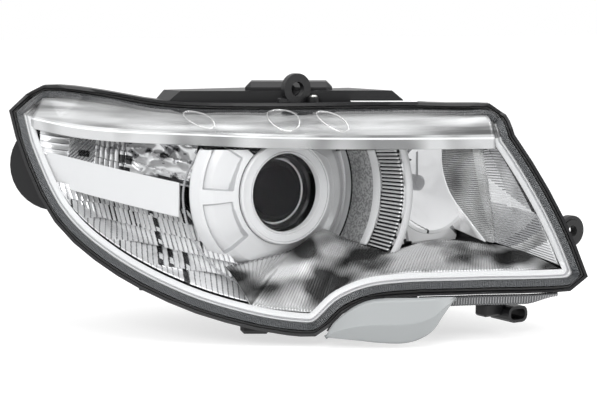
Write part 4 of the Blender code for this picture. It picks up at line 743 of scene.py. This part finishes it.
def make_blade(maker):
    """The bowed, ribbed blade inboard of the bowl. Each rib takes four points."""
    count = BLADE_RIBS * 4
    left, right = curve_through(BLADE_LEFT, count), curve_through(BLADE_RIGHT, count)
    rows = []
    for k in range(9):
        t = k / 8
        rows.append([a.lerp(b, t) + Vector((0, -0.006 * math.sin(math.pi * t)
                                            - 0.0006 * math.sin(2 * math.pi * i / 4), 0))
                     for i, (a, b) in enumerate(zip(left, right))])
    # One strip of each rib, on the lower rows, is chrome painted dark as a reflection.
    maker.sheet("blade", rows, ["ribbed_grey", "chrome_painted_dark"], ["fluted_blade"], "chromed_trim", 0.0012,
                pick=lambda i, j: 1 if j % 4 == 1 and i < 6 else 0, angle=50)


def make_side_panel(maker):
    """The folded facets between the blade and the inboard border, each painted lighter or darker for how the
    light falls on it.
    """
    near = []
    inside = BORDER_OUTSET + BORDER_WIDTH + 0.002
    count = 81
    for k in range(count):
        point = face_point(1.0, 0.055 + 0.885 * k / (count - 1))
        near.append(point + Vector((-inside, BORDER_DEPTH + 0.004, 0)))
    far = [p + Vector((-0.002, 0.0012, 0)) for p in reversed(curve_through(BLADE_RIGHT, count))]
    rows = []
    steps = 24
    for k in range(steps + 1):
        t = k / steps
        sag = 0.010 * (1 - abs(2 * t - 1))
        rows.append([a.lerp(b, t) + Vector((0, sag + 0.0003 * math.cos(math.pi * i), 0))
                     for i, (a, b) in enumerate(zip(near, far))])

    corner = 0.42  # height of the corner, on the border, where the facets meet

    # Facets and rib stripes take white, grey and dark looks as painted light, shade and reflection.
    def pick(i, j):
        up, t = (j + 0.5) / (count - 1), (i + 0.5) / steps
        ribbed = 1 if j % 2 else 4
        if up > corner + 0.30 * t:
            return 3 if t < 0.08 else ribbed
        if up > corner + 0.04 * t:
            return 0
        fold = corner * (1 - t)
        if up > fold:
            return ribbed
        return 1 if up > fold - 0.10 else 4 if up > fold - 0.2 else 2

    maker.sheet("side_facets", rows, ["bar", "chrome_painted_grey", "chrome_soft", "chrome_painted_dark", "ribbed_grey"],
                ["side_panel"], "chromed_trim", 0.0012, pick=pick, angle=25)


# ------------------------------------------------------------------ turn lamp
BAR_OUTBOARD, BAR_INBOARD = (-0.273, 0.0400, 0.0075), (-0.1225, 0.013, -0.021)
TURN_RIGHT, TURN_DEPTH = -0.116, 0.056
TURN_EDGE_DEPTH = 0.0165  # depth behind the lens where the reflectors meet the border
LOUVRES, ARCH_FLUTES, PILLOWS = 5, 46, 30  # per height, and twice per width, of the upper reflector
FLUTE_PITCH, FLUTE_LEAN = 0.0050, 0.35
STEP_HEIGHT, STEP_OVERLAP = 0.0145, 0.005  # of the lower reflector, and how far it runs up behind the bar


def bar_edge(x, which):
    share = (x - BAR_OUTBOARD[0]) / (BAR_INBOARD[0] - BAR_OUTBOARD[0])
    return BAR_OUTBOARD[which] + share * (BAR_INBOARD[which] - BAR_OUTBOARD[which])


def border_height(x):
    ahead = 0.004
    rise = (height_on(BOTTOM_EDGE, x + ahead) - height_on(BOTTOM_EDGE, x - ahead)) / (2 * ahead)
    return height_on(BOTTOM_EDGE, x) + (BORDER_OUTSET + BORDER_WIDTH + 0.002) * math.hypot(1, rise)


def cell_noise(i, j, seed):
    return noise.cell(Vector((i + 0.5, j + 0.5, seed + 0.5)))


# The upper reflector's zones, as shares of its width, and its patches painted dark as reflections: (from, to,
# bottom, top)
UPPER_LOUVRES, UPPER_ARCH, UPPER_PILLOWS = 0.18, 0.34, 0.55
UPPER_DARK_PATCHES = [(0.24, 0.31, 0.20, 0.38), (0.50, 0.59, 0.24, 0.46), (0.51, 0.58, 0.04, 0.16),
                 (0.76, 0.97, 0.04, 0.14)]


def make_turn_upper(maker):
    """From the outboard end: louvres, a fluted arch, pillows, and loose facets beside the rib."""
    wide, tall = 330, 44
    left, right = -0.277, TURN_RIGHT + 0.010
    rows = []
    for j in range(tall + 1):
        t = j / tall
        row = []
        for i in range(wide + 1):
            u = i / wide
            x = left + (right - left) * u
            low = bar_edge(x, 1) - 0.006
            z = low + t * (height_on(CREASE, x) - 0.009 - low)
            if u < UPPER_LOUVRES:
                flute, step = 0.0016 * ripple(LOUVRES * t + 0.5), 0.0
            elif u < UPPER_ARCH:
                flute, step = 0.0022 * ripple(ARCH_FLUTES * (u - 0.18 * t)), 0.004 * (1 - t)
            elif u < UPPER_PILLOWS:
                flute, step = 0.0016 * ripple(PILLOWS * u), 0.006 * ((t * 3.0 + 0.6 * u) % 1.0)
            else:
                flute, step = 0.0010 * ripple(9 * u + 2.5 * t), 0.009 * ((t * 3.0 + 1.6 * u) % 1.0)
            tilt = 0.006 * noise.noise(Vector((9 * u, 4 * t, 3.5))) if u > UPPER_PILLOWS else 0.0
            depth = TURN_EDGE_DEPTH + (TURN_DEPTH - TURN_EDGE_DEPTH) * smooth_step(0.0, 0.34, u)
            depth += 0.012 * t * smooth_step(0.0, 0.3, u)
            row.append(Vector((x, lens_depth(x, z) + depth + flute - step + tilt, z)))
        rows.append(row)

    # Louvre lines, half the arch's flutes, streaks and patches take grey and dark chrome as painted
    # reflections.
    def pick(i, j):
        u, t = (j + 0.5) / wide, (i + 0.5) / tall
        if any(u0 < u < u1 and t0 < t < t1 for u0, u1, t0, t1 in UPPER_DARK_PATCHES):
            return 2
        if u < UPPER_LOUVRES:
            return 1 if (LOUVRES * t + 0.5) % 1.0 < 0.12 else 0
        if u < UPPER_ARCH:
            inside = (u - UPPER_LOUVRES) > 0.07 * t * t
            return 1 if inside and (ARCH_FLUTES * (u - 0.18 * t)) % 1.0 < 0.5 else 0
        streak = noise.noise(Vector((16 * u, 7 * t - 5 * u, 7.5)))
        if u < UPPER_PILLOWS:
            return 1 if (PILLOWS * u) % 1.0 < 0.25 or streak > 0.32 else 0
        return 2 if streak > 0.46 else 1 if streak > 0.20 else 0

    maker.sheet("turn_upper", rows, ["chrome_soft", "chrome_painted_grey", "chrome_painted_dark"], ["turn_reflector_upper"],
                "chromed_trim", 0.0010, pick=pick, angle=50)


def make_turn_lower(maker):
    """The lower reflector: five leaning steps of slanted flutes."""
    wide, tall = 420, 66
    left, right = -0.2565, TURN_RIGHT + 0.084
    rows = []
    for j in range(tall + 1):
        t = j / tall
        row = []
        for i in range(wide + 1):
            u = i / wide
            x = left + (right - left) * u
            top = bar_edge(min(x, TURN_RIGHT), 2) + STEP_OVERLAP - max(x - TURN_RIGHT, 0)
            low = min(border_height(x) - 0.001, top - 0.004)
            z = low + t * (top - low)
            level = (bar_edge(x, 2) + STEP_OVERLAP - z) / STEP_HEIGHT
            flute = 0.0020 * ripple((x + FLUTE_LEAN * z) / FLUTE_PITCH + 0.5 * int(level + 20))
            step = 0.0065 * (level % 1.0)
            full = smooth_step(0.0, 0.25, u) * smooth_step(-0.05, 0.30, t)
            depth = TURN_EDGE_DEPTH + (TURN_DEPTH + 0.002 - TURN_EDGE_DEPTH) * full
            row.append(Vector((x, lens_depth(x, z) + depth + (flute - step) * full, z)))
        rows.append(row)

    # One edge of each flute and some random flutes take grey and dark chrome as painted reflections.
    def pick(i, j):
        u = (j + 0.5) / wide
        x = left + (right - left) * u
        z = rows[i][j].z
        level = int((bar_edge(x, 2) + STEP_OVERLAP - z) / STEP_HEIGHT + 20)
        across = (x + FLUTE_LEAN * z) / FLUTE_PITCH + 0.5 * level
        phase = across % 1.0
        chance = cell_noise(int(across + 100), level, 11)
        if 0.40 < u < 0.70 and i % 13 < 9 and chance > 0.55:
            return 2
        if phase < 0.22 + 0.10 * chance:
            return 2 if chance > 0.6 else 1
        return 0

    maker.sheet("turn_lower", rows, ["chrome_soft", "chrome_painted_grey", "chrome_painted_dark"], ["turn_reflector_lower"],
                "chromed_trim", 0.0010, pick=pick, angle=30)


DIVIDING_RIB = [(-0.099, 0.050, 0.048), (-0.115, 0.045, 0.020), (-0.118, 0.040, -0.010),
                (-0.108, 0.036, -0.045), (-0.084, 0.034, -0.075), (-0.052, 0.030, -0.094)]


def make_dividing_rib(maker):
    line = curve_through(DIVIDING_RIB, 161)
    knurls = [0.0008 + 0.0008 * (i % 2) for i in range(len(line))]
    maker.tube("knurled_rib", line, knurls, "shade", ["dividing_rib"], "clear_lens")


# ------------------------------------------------------------------ high beam
APRON_HOLE, APRON_Y = 0.0475, 0.064
APRON_SIDE, APRON_DROP = 0.055, 0.066  # how far the apron reaches from the bowl's axis, inboard and down
BOWL_ROWS, BOWL_STEPS = 24, 120


def make_bowl(maker):
    """The high beam's bowl. The dark line and slit near its neck and its rim, and a grey patch beside them,
    are painted reflections, and its look carries a painted glow.
    """
    inner = []
    for i in range(BOWL_ROWS + 1):
        r = BOWL_RADIUS + (BOWL_NECK - BOWL_RADIUS) * i / BOWL_ROWS
        inner.append((r, -BOWL_DEPTH * (BOWL_RADIUS**2 - r**2) / (BOWL_RADIUS**2 - BOWL_NECK**2)))
    wall = 0.0025
    outer = [(r + wall, z - wall * 0.6) for r, z in inner]
    neck = 0.101 - BOWL_Y + 0.005
    section = [(BOWL_RADIUS + 0.0036, 0.0), (BOWL_RADIUS + 0.004, -0.0006), (BOWL_RADIUS + 0.004, -0.002),
               *outer[1:-1], (BOWL_NECK + wall + 0.0005, -BOWL_DEPTH - 0.001),
               (BOWL_NECK + wall + 0.0005, -neck), (BOWL_NECK - 0.003, -neck),
               (BOWL_NECK - 0.003, -BOWL_DEPTH - 0.001), *reversed(inner)]
    first = len(section) - len(inner)

    def pick(k, i):
        degrees, row = i * 360 / BOWL_STEPS, k - first
        slit = 13 + 11 * (degrees - 232) / 30
        # Painted reflections: a dark line near the neck, a dark slit near the rim, and a grey patch.
        if 60 < degrees < 125 and row in (5, 6) or 232 < degrees < 262 and abs(row - slit) < 1.2:
            return 1
        return 2 if 125 <= degrees < 150 and row > 8 else 0

    maker.lathe("high_bowl", section, HIGH, BOWL_Y, ["bowl", "chrome_painted_dark", "chrome_painted_grey"],
                ["high_beam_reflector"], "chromed_trim", BOWL_STEPS, True, pick, angle=40)


def make_bowl_apron(maker):
    """The bright walls round the bowl's rim and from there to the blade, bright partly through a painted
    glow, with a slanting line painted dark as a reflection.
    """
    rows = []
    for k in range(9):
        t = k / 8
        row = []
        for i in range(73):
            a = math.radians(150 + 3 * i)
            reach = min(APRON_SIDE / max(abs(math.cos(a)), 1e-6), APRON_DROP / max(abs(math.sin(a)), 1e-6))
            r = APRON_HOLE + max(reach - APRON_HOLE, 0.001) * t
            y = APRON_Y - 0.010 * t
            row.append(Vector((HIGH.x + r * math.cos(a), y, HIGH.z + r * math.sin(a))))
        rows.append(row)

    def pick(i, j):
        return 1 if i > 2 and abs(j - 22 - 2 * i) < 2 else 2 if j % 18 == 0 else 0

    maker.sheet("bowl_apron", rows, ["bowl", "chrome_painted_dark", "chrome_pale"], [], "chromed_trim", 0.0014, CAR,
                pick, "housing", 50)
    edge = [STYLING @ p + ORIGIN for p in curve_through(BLADE_LEFT, 41)]
    side = [Vector((HIGH.x + APRON_SIDE - 0.001, APRON_Y - 0.009, p.z)) for p in edge]
    strip = [[a.lerp(b, k / 4) for a, b in zip(edge, side)] for k in range(5)]
    maker.sheet("bowl_side_wall", strip, ["bowl"], [], "chromed_trim", 0.0014, CAR, None, "housing", 50)


# ------------------------------------------------------------------ outside
COVER_TOP = [(0.0265, -0.1325), (0.036, -0.1190), (0.0505, -0.1070), (0.0655, -0.0995), (0.080, -0.0965),
             (0.120, -0.0955), (0.156, -0.0945)]
COVER_BOTTOM = [(0.0265, -0.1335), (0.060, -0.1365), (0.080, -0.1385), (0.103, -0.1390), (0.1200, -0.1350),
                (0.1340, -0.1260), (0.1440, -0.1120), (0.156, -0.0960)]
COVER_OUT, COVER_FACE = 0.012, -0.026
FLANGE_RIBS = 52


def cover_point(share, t):
    (x, low), (_, high) = along(COVER_BOTTOM, share), along(COVER_TOP, share)
    z = low + (high - low) * t
    ends = math.sin(math.pi * min(max(share, 0.02), 0.98)) ** 0.5
    bulge = COVER_OUT * (1 - abs(2 * t - 0.9)) * ends
    return Vector((x, COVER_FACE - bulge + 0.25 * (z + 0.115), z))


def make_washer_cover(maker):
    heights = [0, 0.06, 0.14, 0.24, 0.34, 0.42, 0.44, 0.46, 0.48, 0.56, 0.68, 0.80, 0.90, 1.0]
    rows = [[cover_point(k / 60, t) for k in range(61)] for t in heights]
    maker.sheet("painted_cover", rows, ["primer"], ["washer_cover"], "grey_primer", 0.0024, angle=50)
    line = [cover_point(0.02 + 0.44 * k / 30, 1.0) + Vector((-0.0006, 0.0008, 0.0010)) for k in range(31)]
    maker.tube("cover_seal_strip", line, [0.0009] * len(line), "gloss_black", [], "rubber", body="washer")


def make_lower_flange(maker):
    """The clear, cross-ribbed flange under the lens's inboard end. Each rib takes four points."""
    count = FLANGE_RIBS * 4
    rows = []
    for t in (0, 0.15, 0.5, 0.85, 1):
        row = []
        for k in range(count + 1):
            share = 0.72 + 0.24 * k / count
            x, z = along(BOTTOM_EDGE, share)
            drop = 0.0084 + (0.0100 - 0.007 * smooth_step(0.90, 0.96, share)) * t
            rib = 0.0006 * math.sin(2 * math.pi * k / 4)
            row.append(Vector((x, lens_depth(x, z) + 0.006 + 0.004 * t + rib, z - drop)))
        rows.append(row)
    # One strip of each rib, in the middle rows, takes painted shade.
    maker.sheet("ribbed_flange", rows, ["foot", "shade"], ["lower_flange"], "clear_lens", 0.0026,
                pick=lambda i, j: 1 if j % 4 == 1 and i in (1, 2) else 0, angle=50)


CAD_LOOKS = {
    "black_plastic": "black", "rubber": "rubber", "satin_silver": "bar", "chromed_trim": "chrome",
    "grey_plastic": "shade", "bulb_glass": "bulb", "amber_bulb": "amber", "plated_steel": "steel",
    "natural_nylon": "nylon", "white_label": "label", "clear_lens": "lens", "optical_glass": "glass",
    "grey_primer": "primer",
}


def paint_cad(maker):
    """Gives each CAD node that is still shown the look of its material slot."""
    for node in maker.frame["nodes"].values():
        for slot in node.material_slots:
            name = slot.material.name.split(".")[0] if slot.material else ""
            if name in CAD_LOOKS:
                slot.material = maker.looks[CAD_LOOKS[name]]
        node.data.set_sharp_from_angle(angle=math.radians(35))


# ------------------------------------------------------------------ studio
def make_world():
    """A white tent, open and dark on the camera's side so that bright metal has something to mirror."""
    world = bpy.data.worlds.new("tent")
    bpy.context.scene.world = world
    world.use_nodes = True
    tree = world.node_tree
    tree.nodes.clear()
    place = tree.nodes.new("ShaderNodeTexCoord")
    facing = tree.nodes.new("ShaderNodeVectorMath")
    facing.operation = "DOT_PRODUCT"
    facing.inputs[1].default_value = Vector((-0.35, -0.90, 0.02)).normalized()
    tent = tree.nodes.new("ShaderNodeValToRGB")
    for element, (at, grey) in zip(tent.color_ramp.elements, [(0.66, 1.0), (0.95, 0.05)]):
        element.position = at
        element.color = (grey, grey, grey, 1)
    seen = tree.nodes.new("ShaderNodeLightPath")
    room = tree.nodes.new("ShaderNodeBackground")
    room.inputs["Strength"].default_value = 1.0
    plain = tree.nodes.new("ShaderNodeBackground")
    plain.inputs["Color"].default_value = (1, 1, 1, 1)
    plain.inputs["Strength"].default_value = 1.0
    mixed = tree.nodes.new("ShaderNodeMixShader")
    out = tree.nodes.new("ShaderNodeOutputWorld")
    tree.links.new(place.outputs["Generated"], facing.inputs[0])
    tree.links.new(facing.outputs["Value"], tent.inputs["Fac"])
    tree.links.new(tent.outputs["Color"], room.inputs["Color"])
    tree.links.new(seen.outputs["Is Camera Ray"], mixed.inputs["Fac"])
    tree.links.new(room.outputs["Background"], mixed.inputs[1])
    tree.links.new(plain.outputs["Background"], mixed.inputs[2])
    tree.links.new(mixed.outputs["Shader"], out.inputs["Surface"])


# name, place from the lamp's middle, size in metres and power in watts
LIGHTS = [("key", (-1.6, -1.5, 1.5), 1.3, 26), ("fill", (1.6, -1.2, 0.9), 1.2, 14),
          ("top", (0.1, 0.2, 1.8), 1.6, 14)]
CAMERA_LENS, CAMERA_SENSOR, CAMERA_DISTANCE = 96.5, 36, 1.6
CAMERA_AROUND, CAMERA_UP = math.radians(-33), math.radians(6.5)


def make_studio(target):
    """A pale floor just under the lamp, and three soft lights."""
    floor_mesh = bpy.data.meshes.new("studio_floor")
    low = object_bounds()[0].z - 0.002
    corners = [(x, y, low) for x, y in ((-20, -20), (20, -20), (20, 20), (-20, 20))]
    floor_mesh.from_pydata(corners, [], [(0, 1, 2, 3)])
    floor = bpy.data.objects.new("studio_floor", floor_mesh)
    floor_mesh.materials.append(shader("pale floor", (0.45, 0.45, 0.45), 0.9, emission=0.62))
    bpy.context.scene.collection.objects.link(floor)
    floor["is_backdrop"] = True
    for name, place, size, power in LIGHTS:
        light = bpy.data.lights.new(name, "AREA")
        light.size = size
        light.energy = power
        made = bpy.data.objects.new(name, light)
        made.location = target + Vector(place)
        made.rotation_euler = (-Vector(place)).to_track_quat("-Z", "Y").to_euler()
        bpy.context.scene.collection.objects.link(made)


def make_camera(target):
    camera = bpy.data.cameras.new("camera")
    camera.lens = CAMERA_LENS
    camera.sensor_width = CAMERA_SENSOR
    camera.clip_start = 0.05
    made = bpy.data.objects.new("camera", camera)
    bpy.context.scene.collection.objects.link(made)
    around, up = CAMERA_AROUND, CAMERA_UP
    back = Vector((math.sin(around) * math.cos(up), -math.cos(around) * math.cos(up), math.sin(up)))
    made.location = target + back * CAMERA_DISTANCE
    made.rotation_euler = (-back).to_track_quat("-Z", "Y").to_euler()
    bpy.context.scene.camera = made


def main():
    for old in list(bpy.data.objects):
        bpy.data.objects.remove(old)
    maker = Maker()
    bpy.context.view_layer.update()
    grid = lens_grid()
    loop = edge_loop(grid)
    make_lens(maker, grid, loop)
    make_foot_and_border(maker, loop)
    make_visor(maker)
    make_surround(maker)
    make_projector(maker)
    make_divider(maker)
    make_floor(maker)
    make_blade(maker)
    make_side_panel(maker)
    make_turn_upper(maker)
    make_turn_lower(maker)
    make_dividing_rib(maker)
    make_bowl(maker)
    make_bowl_apron(maker)
    make_washer_cover(maker)
    make_lower_flange(maker)
    paint_cad(maker)
    make_world()
    make_studio(-ORIGIN)
    make_camera(-ORIGIN)
    bpy.context.scene.view_settings.view_transform = "Standard"


main()
